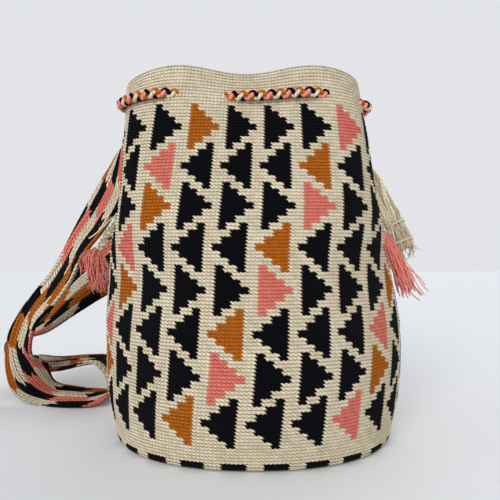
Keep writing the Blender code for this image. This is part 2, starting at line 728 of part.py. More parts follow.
def main():
    clear_scene()
    parts = new_collection("mochila_bag")
    guides = new_collection("guides")
    bag = finish("bag_body", bag_mesh(), CREAM, parts)
    _, room = add_drawstring(parts, guides)
    combine(bag, room, "DIFFERENCE")
    add_strap(parts)
    add_seam_yarn(parts)
    add_left_tassel(parts)
    add_right_tassel(parts)
    for made in parts.objects:
        if made.type == "MESH":
            made.data.shade_smooth()


main()
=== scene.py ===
import functools
import json
import math

import bpy
import numpy as np
from mathutils import Vector
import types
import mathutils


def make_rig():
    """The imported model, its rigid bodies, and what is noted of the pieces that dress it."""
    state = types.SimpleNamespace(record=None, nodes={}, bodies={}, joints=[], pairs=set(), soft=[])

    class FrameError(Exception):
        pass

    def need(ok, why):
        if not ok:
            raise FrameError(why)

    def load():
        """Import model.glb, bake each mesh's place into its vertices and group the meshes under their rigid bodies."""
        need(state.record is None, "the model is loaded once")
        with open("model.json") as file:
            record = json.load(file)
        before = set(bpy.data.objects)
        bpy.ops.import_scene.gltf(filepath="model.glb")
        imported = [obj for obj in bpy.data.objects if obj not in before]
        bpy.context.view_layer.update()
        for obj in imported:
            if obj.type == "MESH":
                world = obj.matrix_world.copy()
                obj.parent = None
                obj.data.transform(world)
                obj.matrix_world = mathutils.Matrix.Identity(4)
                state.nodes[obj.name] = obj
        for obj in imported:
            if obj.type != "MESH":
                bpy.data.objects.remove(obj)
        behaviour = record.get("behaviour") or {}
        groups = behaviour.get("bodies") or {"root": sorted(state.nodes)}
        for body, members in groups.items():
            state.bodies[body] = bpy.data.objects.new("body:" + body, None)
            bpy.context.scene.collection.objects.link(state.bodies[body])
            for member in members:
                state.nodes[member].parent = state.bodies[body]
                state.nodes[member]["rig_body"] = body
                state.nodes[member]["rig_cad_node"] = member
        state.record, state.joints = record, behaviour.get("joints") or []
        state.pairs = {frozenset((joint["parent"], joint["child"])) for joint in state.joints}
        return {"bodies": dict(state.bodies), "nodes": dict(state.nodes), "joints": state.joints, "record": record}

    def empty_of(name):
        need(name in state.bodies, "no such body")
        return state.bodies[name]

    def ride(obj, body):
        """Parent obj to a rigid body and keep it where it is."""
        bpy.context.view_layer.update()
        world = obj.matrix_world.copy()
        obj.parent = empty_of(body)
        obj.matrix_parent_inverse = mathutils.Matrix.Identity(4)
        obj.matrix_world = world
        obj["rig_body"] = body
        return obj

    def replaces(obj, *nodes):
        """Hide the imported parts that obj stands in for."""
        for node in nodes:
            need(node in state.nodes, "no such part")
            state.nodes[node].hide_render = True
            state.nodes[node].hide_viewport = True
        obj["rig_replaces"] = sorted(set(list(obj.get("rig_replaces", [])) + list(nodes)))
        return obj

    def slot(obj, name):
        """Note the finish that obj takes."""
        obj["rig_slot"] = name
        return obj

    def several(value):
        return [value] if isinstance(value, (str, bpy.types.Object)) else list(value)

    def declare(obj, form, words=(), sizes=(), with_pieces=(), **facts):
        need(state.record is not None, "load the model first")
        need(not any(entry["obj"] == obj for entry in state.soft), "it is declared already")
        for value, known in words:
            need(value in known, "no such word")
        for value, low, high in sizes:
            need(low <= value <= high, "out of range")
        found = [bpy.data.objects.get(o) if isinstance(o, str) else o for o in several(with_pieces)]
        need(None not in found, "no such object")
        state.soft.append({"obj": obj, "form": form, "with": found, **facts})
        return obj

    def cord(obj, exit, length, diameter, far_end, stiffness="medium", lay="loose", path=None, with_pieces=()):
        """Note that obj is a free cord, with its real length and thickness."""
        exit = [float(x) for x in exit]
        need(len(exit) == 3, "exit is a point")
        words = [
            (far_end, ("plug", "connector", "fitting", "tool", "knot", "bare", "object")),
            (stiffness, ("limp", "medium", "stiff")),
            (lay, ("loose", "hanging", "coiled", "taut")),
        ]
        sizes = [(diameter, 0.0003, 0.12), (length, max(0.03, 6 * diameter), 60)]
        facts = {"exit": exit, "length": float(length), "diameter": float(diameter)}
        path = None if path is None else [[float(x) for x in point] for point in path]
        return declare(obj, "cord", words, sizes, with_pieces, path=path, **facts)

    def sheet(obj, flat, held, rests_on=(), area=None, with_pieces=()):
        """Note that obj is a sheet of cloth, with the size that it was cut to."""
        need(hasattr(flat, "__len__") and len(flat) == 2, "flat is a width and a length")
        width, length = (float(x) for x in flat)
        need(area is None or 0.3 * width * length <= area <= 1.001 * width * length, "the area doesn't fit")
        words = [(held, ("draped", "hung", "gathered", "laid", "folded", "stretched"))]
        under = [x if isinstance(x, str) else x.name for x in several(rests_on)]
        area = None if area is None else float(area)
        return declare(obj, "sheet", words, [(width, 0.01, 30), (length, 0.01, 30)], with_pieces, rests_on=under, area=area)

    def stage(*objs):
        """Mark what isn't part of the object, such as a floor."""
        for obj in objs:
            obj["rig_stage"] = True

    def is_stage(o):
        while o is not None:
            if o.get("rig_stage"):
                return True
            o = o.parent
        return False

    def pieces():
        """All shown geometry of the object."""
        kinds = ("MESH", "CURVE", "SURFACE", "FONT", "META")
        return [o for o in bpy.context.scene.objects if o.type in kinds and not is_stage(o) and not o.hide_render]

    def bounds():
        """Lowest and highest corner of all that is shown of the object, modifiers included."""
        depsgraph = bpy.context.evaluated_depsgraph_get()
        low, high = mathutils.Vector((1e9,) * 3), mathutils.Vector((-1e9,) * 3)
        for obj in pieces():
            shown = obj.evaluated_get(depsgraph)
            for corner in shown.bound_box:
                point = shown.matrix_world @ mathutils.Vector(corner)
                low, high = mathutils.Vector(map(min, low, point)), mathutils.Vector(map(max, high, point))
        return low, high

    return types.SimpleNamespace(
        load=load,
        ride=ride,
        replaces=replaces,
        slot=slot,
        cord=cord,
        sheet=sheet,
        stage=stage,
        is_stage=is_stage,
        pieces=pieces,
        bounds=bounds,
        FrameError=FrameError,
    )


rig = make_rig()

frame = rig.load()
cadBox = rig.bounds()
print("frame loaded")


# Camera, light and floor

view = {"place": (0, -0.54, 0.159), "lens": 43.2, "sensor": 36, "nearest": 0.01}

bpy.ops.object.select_all(action="DESELECT")
bpy.ops.object.camera_add(location=view["place"], rotation=(math.pi / 2, 0, 0))
camera = bpy.context.object
camera.name = "photoCamera"
camera.data.lens = view["lens"]
camera.data.sensor_width = view["sensor"]
camera.data.clip_start = view["nearest"]
bpy.context.scene.camera = camera


def linear(colour):
    # sRGB, 0 to 255, to the linear colour that a socket takes
    shares = [c / 255 for c in colour]
    return [c / 12.92 if c <= 0.04045 else ((c + 0.055) / 1.055) ** 2.4 for c in shares]


studio = {
    "floor": (226, 228, 230),
    "floorSize": 8,
    "floorHeight": -0.0002,
    "floorRoughness": 0.9,
    "world": (242, 244, 248),
    "worldLight": 0.66,
    "worldSeen": 0.86,
    "aim": (0, 0, 0.14),
    # Name, place, angular size and power
    "lamps": (
        ("key", (-0.30, -1.05, 0.70), 0.6, 1.75),
        ("fill", (0.9, -0.7, 0.9), 1.0, 0.12),
        ("rear", (0.5, 1.2, 0.9), 1.0, 0.9),
    ),
}


def addStudio():
    bpy.ops.mesh.primitive_plane_add(
        size=studio["floorSize"], location=(0, 0, studio["floorHeight"])
    )
    floor = bpy.context.object
    floor.name = "studioFloor"
    bpy.ops.object.transform_apply(location=True, rotation=False, scale=False)
    material = bpy.data.materials.new("studioFloor")
    material.use_nodes = True
    shader = material.node_tree.nodes["Principled BSDF"]
    shader.inputs["Base Color"].default_value = (*linear(studio["floor"]), 1)
    shader.inputs["Roughness"].default_value = studio["floorRoughness"]
    floor.data.materials.append(material)
    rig.stage(floor)

    # The camera sees the world brighter than it lights the object
    world = bpy.data.worlds.new("studioWorld")
    bpy.context.scene.world = world
    world.use_nodes = True
    tree = world.node_tree
    back = tree.nodes["Background"]
    back.inputs["Color"].default_value = (*linear(studio["world"]), 1)
    seen = tree.nodes.new("ShaderNodeLightPath")
    strength = tree.nodes.new("ShaderNodeMix")
    strength.inputs[2].default_value = studio["worldLight"]
    strength.inputs[3].default_value = studio["worldSeen"]
    tree.links.new(seen.outputs["Is Camera Ray"], strength.inputs[0])
    tree.links.new(strength.outputs[0], back.inputs["Strength"])

    for name, place, angle, power in studio["lamps"]:
        aim = (Vector(studio["aim"]) - Vector(place)).to_track_quat("-Z", "Y").to_euler()
        bpy.ops.object.light_add(type="SUN", location=place, rotation=aim)
        lamp = bpy.context.object
        lamp.name = name + "Lamp"
        lamp.data.angle = angle
        lamp.data.energy = power
    bpy.context.scene.view_settings.view_transform = "Standard"


addStudio()
print("studio ready")


# Node helpers


def plug(tree, value, socket):
    # Puts a number, a colour or another node's output into a socket
    if isinstance(value, Value):
        tree.links.new(value.socket, socket)
    elif isinstance(value, (int, float)):
        socket.default_value = value
    else:
        socket.default_value = (*value, 1)


class Value:
    # A node's output that sums can be written with; each step of a sum adds a node
    def __init__(self, tree, socket):
        self.tree, self.socket = tree, socket

    def node(self, kind, *inputs, operation=None):
        node = self.tree.nodes.new(kind)
        if operation:
            node.operation = operation
        for socket, value in zip(node.inputs, inputs):
            plug(self.tree, value, socket)
        return Value(self.tree, node.outputs[0])

    def calc(self, operation, *inputs):
        return self.node("ShaderNodeMath", *inputs, operation=operation)

    def __add__(self, other):
        return self.calc("ADD", self, other)

    def __sub__(self, other):
        return self.calc("SUBTRACT", self, other)

    def __rsub__(self, other):
        return self.calc("SUBTRACT", other, self)

    def __mul__(self, other):
        return self.calc("MULTIPLY", self, other)

    def __truediv__(self, other):
        return self.calc("DIVIDE", self, other)

    def __mod__(self, other):
        return self.calc("FLOORED_MODULO", self, other)

    def __pow__(self, other):
        return self.calc("POWER", self, other)

    def __abs__(self):
        return self.calc("ABSOLUTE", self)

    def __gt__(self, other):
        return self.calc("GREATER_THAN", self, other)

    def __lt__(self, other):
        return self.calc("LESS_THAN", self, other)

    def floor(self):
        return self.calc("FLOOR", self)

    def fraction(self):
        return self.calc("FRACT", self)

    def between(self, low, high):
        return (self > low) * (self < high)

    def ranged(self, low, high, toLow, toHigh):
        return self.node("ShaderNodeMapRange", self, low, high, toLow, toHigh)

    def hill(self, power):
        # From 0 up to 1 and back while the value goes from 0 to 1
        return 1 - abs(self * 2 - 1) ** power


def mixColour(tree, share, a, b, blend="MIX"):
    node = tree.nodes.new("ShaderNodeMix")
    node.data_type = "RGBA"
    node.blend_type = blend
    for value, number in ((share, 0), (a, 6), (b, 7)):
        plug(tree, value, node.inputs[number])
    return Value(tree, node.outputs[2])


def outputsOf(tree, node):
    return {output.name: Value(tree, output) for output in node.outputs}


def newGroup(name, inputs, outputs):
    group = bpy.data.node_groups.new(name, "ShaderNodeTree")
    for way, labels in (("INPUT", inputs), ("OUTPUT", outputs)):
        for label in labels:
            group.interface.new_socket(label, in_out=way, socket_type="NodeSocketFloat")
    start = outputsOf(group, group.nodes.new("NodeGroupInput"))
    return group, start, group.nodes.new("NodeGroupOutput").inputs


def useGroup(tree, group, **values):
    node = tree.nodes.new("ShaderNodeGroup")
    node.node_tree = group
    for label, value in values.items():
        plug(tree, value, node.inputs[label])
    return outputsOf(tree, node)


# The look of cotton

yarn = {
    "cream": (229, 216, 187),
    "black": (5, 6, 13),
    "mustard": (184, 100, 22),
    "coral": (232, 124, 110),
}

cotton = {
    "roughness": 0.9,
    "specular": 0.06,
    "sheen": 0.015,
    "sheenRoughness": 0.6,
    "driftScale": 90,
    "driftDetail": 2,
    "fibreScale": 1500,
    "fibreDetail": 3,
    "noiseRange": (0.3, 0.7),
    "uneven": (0.86, 1.10),
    # The colour that the painted shade in the gaps between stitches is tinted towards
    "shadow": (0.10, 0.04, 0.01),
}


def newMaterial(name, roughness=cotton["roughness"]):
    material = bpy.data.materials.new(name)
    material.use_nodes = True
    shader = material.node_tree.nodes["Principled BSDF"]
    shader.inputs["Roughness"].default_value = roughness
    shader.inputs["Specular IOR Level"].default_value = cotton["specular"]
    shader.inputs["Sheen Weight"].default_value = cotton["sheen"]
    shader.inputs["Sheen Roughness"].default_value = cotton["sheenRoughness"]
    return material, material.node_tree, shader


def uvOf(tree):
    place = tree.nodes.new("ShaderNodeUVMap")
    place.uv_map = "UVMap"
    parts = tree.nodes.new("ShaderNodeSeparateXYZ")
    tree.links.new(place.outputs[0], parts.inputs[0])
    return Value(tree, parts.outputs[0]), Value(tree, parts.outputs[1])


def makeFuzzGroup():
    # Fine fibres and slow colour drift of cotton yarn, from object coordinates
    group, start, end = newGroup("cottonFuzz", ("Size",), ("Drift", "Fibre"))
    place = group.nodes.new("ShaderNodeTexCoord")
    for label in ("Drift", "Fibre"):
        noise = group.nodes.new("ShaderNodeTexNoise")
        noise.inputs["Detail"].default_value = cotton[label.lower() + "Detail"]
        group.links.new(place.outputs["Object"], noise.inputs["Vector"])
        plug(group, start["Size"] * cotton[label.lower() + "Scale"], noise.inputs["Scale"])
        group.links.new(noise.outputs[0], end[label])
    return group


def makeUnevenGroup():
    # A brightness of its own for each stitch, from its numbers across and along
    group, start, end = newGroup("unevenStitch", ("Across", "Along"), ("Shade",))
    place = group.nodes.new("ShaderNodeCombineXYZ")
    plug(group, start["Across"], place.inputs[0])
    plug(group, start["Along"], place.inputs[1])
    noise = group.nodes.new("ShaderNodeTexWhiteNoise")
    noise.noise_dimensions = "2D"
    group.links.new(place.outputs[0], noise.inputs["Vector"])
    shade = Value(group, noise.outputs["Value"]).ranged(0, 1, *cotton["uneven"])
    plug(group, shade, end["Shade"])
    return group


fuzzGroup, unevenGroup = makeFuzzGroup(), makeUnevenGroup()


def driftingCream(tree, fuzz, look):
    share = fuzz["Drift"].ranged(*cotton["noiseRange"], 0, 1)
    return mixColour(tree, share, *(linear(tone) for tone in look["cream"]))


def finishCotton(tree, shader, colour, bead, fuzz, own, look, shadow=None):
    # Paints shade into the colour in the gaps between the yarn's beads, varied by fibres and own brightness, and
    # raises the bump by the beads and fibres
    shade = bead.ranged(0, *look["beadShade"])
    shade = shade * fuzz["Fibre"].ranged(*cotton["noiseRange"], *look["fibreShade"]) * own
    tint = mixColour(tree, shade, shadow, (1, 1, 1)) if shadow else shade
    plug(tree, mixColour(tree, 1.0, colour, tint, "MULTIPLY"), shader.inputs["Base Color"])
    bump = tree.nodes.new("ShaderNodeBump")
    bump.inputs["Distance"].default_value = look["bump"]
    plug(tree, bead + fuzz["Fibre"] * look["fibreBump"], bump.inputs["Height"])
    tree.links.new(bump.outputs[0], shader.inputs["Normal"])


def finishStitches(tree, shader, colour, bead, fuzz, place, look):
    own = useGroup(tree, unevenGroup, Across=place[0], Along=place[1])["Shade"]
    finishCotton(tree, shader, colour, bead, fuzz, own, look, cotton["shadow"])


# The wall: where a round and a stitch lie

bag = {
    "height": 0.300,
    "stitches": 240,
    "rounds": 115,
    "wall": 0.0035,
    "baseLift": 0.004,
    "baseInset": 0.007,
    "rimWave": (0.0035, 24),
    "gather": (0.002, 30, 9),
    "backFold": (0.007, 60, 22, 28),
    "waveStitches": 40,
    "lean": 0.070,
    "patternStart": 27.94,
    "rowOfStart": 60,
    "outlinePoints": 961,
    "heelRound": 98,
    "turnRows": 4,
    "baseRows": 46,
    "baseRowRounds": 0.75,
    # Grid rows over the rim, down the inside and across its floor, and the round of that floor
    "insideRows": (4, 56, 8, 113),
    "floorRowRounds": 5.2,
    "middle": (0.003, -0.001),
}

# round, width, front, back, squareness, shift to the right
plans = (
    (0, 0.197, 0.069, 0.093, 4.8, -0.006),
    (18, 0.2044, 0.080, 0.100, 4.8, -0.0036),
    (36, 0.2156, 0.092, 0.110, 3.9, -0.0016),
    (54, 0.2416, 0.107, 0.120, 2.3, -0.001),
    (84, 0.2586, 0.120, 0.123, 1.95, 0.003),
    (104, 0.2506, 0.124, 0.120, 1.95, 0.003),
    (115, 0.236, 0.114, 0.112, 2.2, 0.003),
)
belly = plans[4]

# How far the stitches stand out of the wall, and the gap left between two pieces
skin, apart = 0.0005, 0.0003


def smoothCurve(knots, values, at):
    # Values between the knots, along a cubic that passes through each of them
    knots, values = np.array(knots, float), np.array(values, float)
    slopes = np.gradient(values, knots, axis=0)
    i = np.clip(np.searchsorted(knots, at, side="right") - 1, 0, len(knots) - 2)
    span = knots[i + 1] - knots[i]
    t = (np.array(at, float) - knots[i]) / span
    extra = values.ndim - 1
    t, span = t.reshape(t.shape + (1,) * extra), span.reshape(span.shape + (1,) * extra)
    rise = t * t * (3 - 2 * t)
    near = values[i] * (1 - rise) + span * slopes[i] * t * (1 - t) ** 2
    far = values[i + 1] * rise - span * slopes[i + 1] * t * t * (1 - t)
    return near + far


def pointsOf(route):
    return np.array([tuple(p) for p in route], float)


def lengthsAlong(points):
    steps = np.linalg.norm(np.diff(points, axis=0), axis=1)
    return np.concatenate([[0], np.cumsum(steps)])


def fade(roundNumber, rounds):
    return max(0.0, 1 - roundNumber / rounds) ** 2


@functools.lru_cache(maxsize=None)
def planAt(roundNumber):
    # Points, outward normals and stitch numbers round the bag, and one stitch's width
    rounds = [p[0] for p in plans]
    width, front, back, square, shift = (
        float(smoothCurve(rounds, [p[k] for p in plans], roundNumber)) for k in range(1, 6)
    )
    turn = np.linspace(0, 2 * math.pi, bag["outlinePoints"])
    s, c = np.sin(turn), np.cos(turn)
    x = shift + width / 2 * np.sign(s) * np.abs(s) ** (2 / square)
    y = (back - front) / 2 - (back + front) / 2 * np.sign(c) * np.abs(c) ** (2 / square)
    for waving in (True, False):
        along = np.concatenate([[0], np.cumsum(np.hypot(np.diff(x), np.diff(y)))])
        stitch = along / along[-1] * bag["stitches"]
        dx, dy = np.gradient(x, along), np.gradient(y, along)
        closing = along[1] + along[-1] - along[-2]
        dx[0] = dx[-1] = (x[1] - x[-2]) / closing
        dy[0] = dy[-1] = (y[1] - y[-2]) / closing
        size = np.hypot(dx, dy)
        normal = np.stack([dy / size, -dx / size], axis=1)
        if waving:
            foldHeight, foldRounds, foldStitches, foldReach = bag["backFold"]
            fromBack = np.abs(stitch - bag["stitches"] / 2)
            mask = np.cos(np.minimum(fromBack / foldReach, 1) * math.pi / 2) ** 2
            fold = foldHeight * fade(roundNumber, foldRounds) * mask
            out = fold * np.cos(2 * math.pi * fromBack / foldStitches)
            gather, gatherRounds, gatherStitch = bag["gather"]
            turns = 2 * math.pi * (stitch - gatherStitch) / bag["waveStitches"]
            out = out - gather * fade(roundNumber, gatherRounds) * np.cos(turns)
            x, y = x + normal[:, 0] * out, y + normal[:, 1] * out
    return np.stack([x, y], axis=1), normal, stitch, along[-1] / bag["stitches"]


def wallPoints(roundNumber, stitches, out=0.0):
    # The outside of the wall at one round and many stitches, moved out by that much
    points, normals, known, _ = planAt(roundNumber)
    at = np.mod(np.asarray(stitches, float), bag["stitches"])
    flat = np.stack([np.interp(at, known, points[:, k]) for k in range(2)], axis=-1)
    way = np.stack([np.interp(at, known, normals[:, k]) for k in range(2)], axis=-1)
    way = way / np.linalg.norm(way, axis=-1, keepdims=True)
    height = bag["baseLift"] + (bag["height"] - bag["baseLift"]) * (1 - roundNumber / bag["rounds"])
    wave, waveRounds = bag["rimWave"]
    turns = 2 * math.pi * (at + bag["waveStitches"] / 2) / bag["waveStitches"]
    z = height + wave * fade(roundNumber, waveRounds) * np.cos(turns)
    flat = flat + way * np.asarray(out, float)[..., None]
    return np.concatenate([flat, z[..., None]], axis=-1)


def wallPoint(roundNumber, stitch, out=0.0):
    return Vector(wallPoints(float(roundNumber), np.array([float(stitch)]), np.array([out]))[0])


def roundAt(height):
    return bag["rounds"] * (1 - (height - bag["baseLift"]) / (bag["height"] - bag["baseLift"]))


def stitchWidth(roundNumber):
    return planAt(float(roundNumber))[3]


# Sheets of stitches: a grid primitive whose corners are moved onto the shape

def gridPiece(name, columns, rows, place, uvAt, material, middle=None):
    # place and uvAt take arrays of column and row numbers and give places and UVs
    bpy.ops.object.select_all(action="DESELECT")
    bpy.ops.mesh.primitive_grid_add(x_subdivisions=columns, y_subdivisions=rows, size=1)
    piece = bpy.context.object
    piece.name = name
    mesh = piece.data
    mesh.name = name
    flat = np.empty(len(mesh.vertices) * 3)
    mesh.vertices.foreach_get("co", flat)
    flat = flat.reshape(-1, 3)
    i = np.rint((flat[:, 0] + 0.5) * columns).astype(int)
    j = np.rint((0.5 - flat[:, 1]) * rows).astype(int)
    mesh.vertices.foreach_set("co", place(i, j).astype(float).ravel())
    corner = np.empty(len(mesh.loops), int)
    mesh.loops.foreach_get("vertex_index", corner)
    layer = mesh.uv_layers.get("UVMap") or mesh.uv_layers.new(name="UVMap")
    u, v = uvAt(i, j)
    layer.data.foreach_set("uv", np.stack([u, v], axis=1)[corner].ravel())
    mesh.update()
    bpy.ops.object.mode_set(mode="EDIT")
    bpy.ops.mesh.select_all(action="SELECT")
    bpy.ops.mesh.remove_doubles(threshold=0.000001)
    bpy.ops.object.mode_set(mode="OBJECT")
    turnOutward(piece, middle)
    mesh.materials.append(material)
    return piece


def turnOutward(piece, middle):
    # Flips the faces if most of them look inward, or towards the middle of an open piece
    mesh = piece.data
    count = len(mesh.polygons)
    centres, normals, areas = np.empty(count * 3), np.empty(count * 3), np.empty(count)
    mesh.polygons.foreach_get("center", centres)
    mesh.polygons.foreach_get("normal", normals)
    mesh.polygons.foreach_get("area", areas)
    centres = centres.reshape(-1, 3)
    away = centres - (centres.mean(axis=0) if middle is None else np.array(middle))
    if np.sum(away * normals.reshape(-1, 3) * areas[:, None]) < 0:
        mesh.flip_normals()
    bpy.ops.object.select_all(action="DESELECT")
    piece.select_set(True)
    bpy.context.view_layer.objects.active = piece
    bpy.ops.object.shade_smooth()


def placePiece(piece, slot, *nodes):
    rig.ride(piece, "root")
    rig.slot(piece, slot)
    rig.replaces(piece, *nodes)
    return piece


# Crochet material

crochet = {
    "column": 10,
    "triangleWidth": 8,
    "middleStep": 3,
    "lastStep": 6,
    "triangleRows": 8,
    "colouredEvery": 4,
    "firstRow": 11,
    "rowPitch": 12,
    "slant": 0.7,
    "scallop": 0.22,
    "dashRounds": (113.8, 116.4),
    "dashStitch": 4,
    "uvStitches": 240,
    "uvRounds": 180,
    "cream": ((222, 208, 176), (238, 225, 197)),
    "steepness": 2.5,
    "stitchDepth": 0.8,
    # Bead height to brightness: painted shade in the gaps between stitches
    "beadShade": (0.5, 0.40, 1.02),
    "fibreShade": (0.84, 1.10),
    "fibreBump": 0.25,
    "bump": 0.0011,
}


def makeTriangleGroup():
    # One row of stepped triangles: odd rows point right, even rows left
    inputs, outputs = ("Stitch", "Step", "Number"), ("Mask", "Coloured", "Mustard")
    group, start, end = newGroup("steppedTriangle", inputs, outputs)
    stitch, step, number = (start[label] for label in inputs)
    widest = crochet["triangleWidth"]
    width = widest - abs(step - crochet["middleStep"]) * 2
    odd = number % 2
    even = 1 - odd
    shifted = stitch + even
    inColumn = shifted % crochet["column"]
    column = (shifted / crochet["column"]).floor()
    across = inColumn * odd + (widest - 1 - inColumn) * even
    inside = across.between(-0.5, width - 0.5)
    counted = column - 1 + (number / 2).floor()
    made = {
        "Mask": inside * number.between(0.5, crochet["triangleRows"] + 0.5),
        "Coloured": counted % crochet["colouredEvery"] < 0.5,
        "Mustard": (counted / crochet["colouredEvery"] + number) % 2 > 0.5,
    }
    for label, value in made.items():
        plug(group, value, end[label])
    return group


def makeCrochetMaterial():
    material, tree, shader = newMaterial("crochetCotton")
    u, v = uvOf(tree)
    x = u * crochet["uvStitches"]
    scallop = (abs(x.fraction() * 2 - 1) - 0.5) * crochet["scallop"]
    rounds = v * crochet["uvRounds"] + scallop
    row, down = rounds.floor(), rounds.fraction()
    slanted = x - (down - 0.5) * crochet["slant"]
    stitch = slanted.floor()

    fromFirst = row - crochet["firstRow"]
    number = (fromFirst / crochet["rowPitch"]).floor() + 1
    inRow = fromFirst % crochet["rowPitch"]
    step = (inRow / 2).floor()
    group = makeTriangleGroup()
    first = useGroup(tree, group, Stitch=stitch, Step=step, Number=number)
    foot = useGroup(tree, group, Stitch=stitch, Step=crochet["lastStep"], Number=number - 1)
    fuzz = useGroup(tree, fuzzGroup, Size=1.0)
    colour = driftingCream(tree, fuzz, crochet)
    for node, mask in ((first, first["Mask"]), (foot, foot["Mask"] * (inRow < 1.5))):
        dyed = mixColour(tree, node["Mustard"], linear(yarn["coral"]), linear(yarn["mustard"]))
        dyed = mixColour(tree, node["Coloured"], linear(yarn["black"]), dyed)
        colour = mixColour(tree, mask, colour, dyed)
    dash = stitch % crochet["column"] > crochet["dashStitch"] - 0.5
    dash = dash * rounds.between(*crochet["dashRounds"])
    colour = mixColour(tree, dash, colour, linear(yarn["black"]))

    deep = crochet["stitchDepth"]
    hill = slanted.fraction().hill(crochet["steepness"]) * deep + (1 - deep)
    bead = down.hill(crochet["steepness"]) * hill
    finishStitches(tree, shader, colour, bead, fuzz, (stitch, row), crochet)
    return material


crochetMaterial = makeCrochetMaterial()


# The crocheted bag


def stitchNumber(i, v):
    # Stitch number of a grid column; the columns lean back as the rounds climb
    return i / 2 - bag["patternStart"] - bag["lean"] * (v - bag["rowOfStart"])


def crochetUv(i, v):
    return i / 2 / crochet["uvStitches"], v / crochet["uvRounds"]


relief = {
    "round": 0.00030,
    "stitch": 0.00018,
    "hand": 0.00016,
    "handLimit": 0.0003,
    "handRows": 400,
    "seed": 7,
    "inside": 0.0003,
    "base": 0.0004,
    "rim": (0.0012, 0.0004),
}


def stitchRelief(i, v):
    # Ridges of the rounds, beads of the stitches and the unevenness of a hand
    chance = np.random.default_rng(relief["seed"])
    uneven = chance.normal(0, relief["hand"], (int(i.max()) + 1, relief["handRows"]))
    uneven[-1] = uneven[0]
    beads = -relief["round"] * np.cos(2 * math.pi * v) - relief["stitch"] * np.cos(math.pi * i)
    limit = relief["handLimit"]
    return beads + np.clip(uneven[i, np.rint(v * 2).astype(int)], -limit, limit)


def addCrochet(name, rows, place, uvAt, middle, inward=False):
    columns = bag["stitches"] * 2
    piece = gridPiece(name, columns, rows, place, uvAt, crochetMaterial, middle)
    if inward:
        piece.data.flip_normals()
    placePiece(piece, "crochet_cream", "bag_body")


def addWall(name, firstRound, lastRound, middle):
    rows = int((lastRound - firstRound) * 2)

    def place(i, j):
        out = stitchRelief(i, firstRound + j / 2)
        made = np.empty((len(i), 3))
        for number in range(rows + 1):
            mine = j == number
            at = firstRound + number / 2
            made[mine] = wallPoints(at, stitchNumber(i[mine], at), out[mine])
        return made

    addCrochet(name, rows, place, lambda i, j: crochetUv(i, firstRound + j / 2), middle)


def basePlace(i, j):
    # Rolls under from the last round and runs in to the middle of the base
    edge = wallPoints(bag["rounds"], stitchNumber(i, bag["rounds"]), 0)
    inward = np.array(bag["middle"]) - edge[:, :2]
    far = np.linalg.norm(inward, axis=1, keepdims=True)
    inward = inward / far
    angle = np.minimum(j / bag["turnRows"], 1) * math.pi / 2
    inset = bag["baseInset"] * (1 - np.cos(angle))
    run = np.maximum(j - bag["turnRows"], 0) / (bag["baseRows"] - bag["turnRows"])
    reach = inset + (far[:, 0] - bag["baseInset"]) * run
    ripple = np.where(run > 0, relief["base"] * (1 - np.cos(math.pi * j)) / 2, 0)
    made = np.empty((len(i), 3))
    made[:, :2] = edge[:, :2] + inward * reach[:, None]
    made[:, 2] = bag["baseLift"] * (1 - np.sin(angle)) + ripple
    return made


def insidePlace(i, j):
    # Over the rim and down the inside to the floor
    rimRows, wallRows, floorRows, last = bag["insideRows"]
    made = np.empty((len(i), 3))
    for number in range(rimRows + wallRows + floorRows + 1):
        mine = j == number
        if number <= rimRows:
            angle = math.pi * number / rimRows
            out = -bag["wall"] / 2 * (1 - math.cos(angle))
            made[mine] = wallPoints(0, stitchNumber(i[mine], 0), out)
            rise, bead = relief["rim"]
            made[mine, 2] += (rise + bead * np.cos(math.pi * i[mine])) * math.sin(angle)
        elif number <= rimRows + wallRows:
            at = (number - rimRows) / wallRows * last
            ripple = relief["inside"] * math.cos(math.pi * number)
            made[mine] = wallPoints(at, stitchNumber(i[mine], at), -bag["wall"] + ripple)
        else:
            edge = wallPoints(float(last), stitchNumber(i[mine], last), -bag["wall"])
            share = (number - rimRows - wallRows) / floorRows
            made[mine, :2] = edge[:, :2] * (1 - share) + np.array(bag["middle"]) * share
            drop = edge[:, 2] - bag["wall"]
            made[mine, 2] = bag["wall"] + drop * max(0, 1 - share * floorRows)
    return made


def insideUv(i, j):
    rimRows, wallRows, _, last = bag["insideRows"]
    wall = np.clip((j - rimRows) / wallRows * last, 0, last)
    return crochetUv(i, wall + np.maximum(j - rimRows - wallRows, 0) * bag["floorRowRounds"])


def addBag():
    addWall("bagWall", 0, bag["heelRound"], (0, 0, 0.15))
    addWall("bagHeel", bag["heelRound"], bag["rounds"], (0, 0, 0.02))

    def baseUv(i, j):
        return crochetUv(i, bag["rounds"] + j * bag["baseRowRounds"])

    addCrochet("bagBase", bag["baseRows"], basePlace, baseUv, (0, 0, 0.05))
    rows = sum(bag["insideRows"][:3])
    addCrochet("bagInside", rows, insidePlace, insideUv, (0, 0, 0.15), inward=True)
    print("bag crocheted")


addBag()


# Shoulder strap

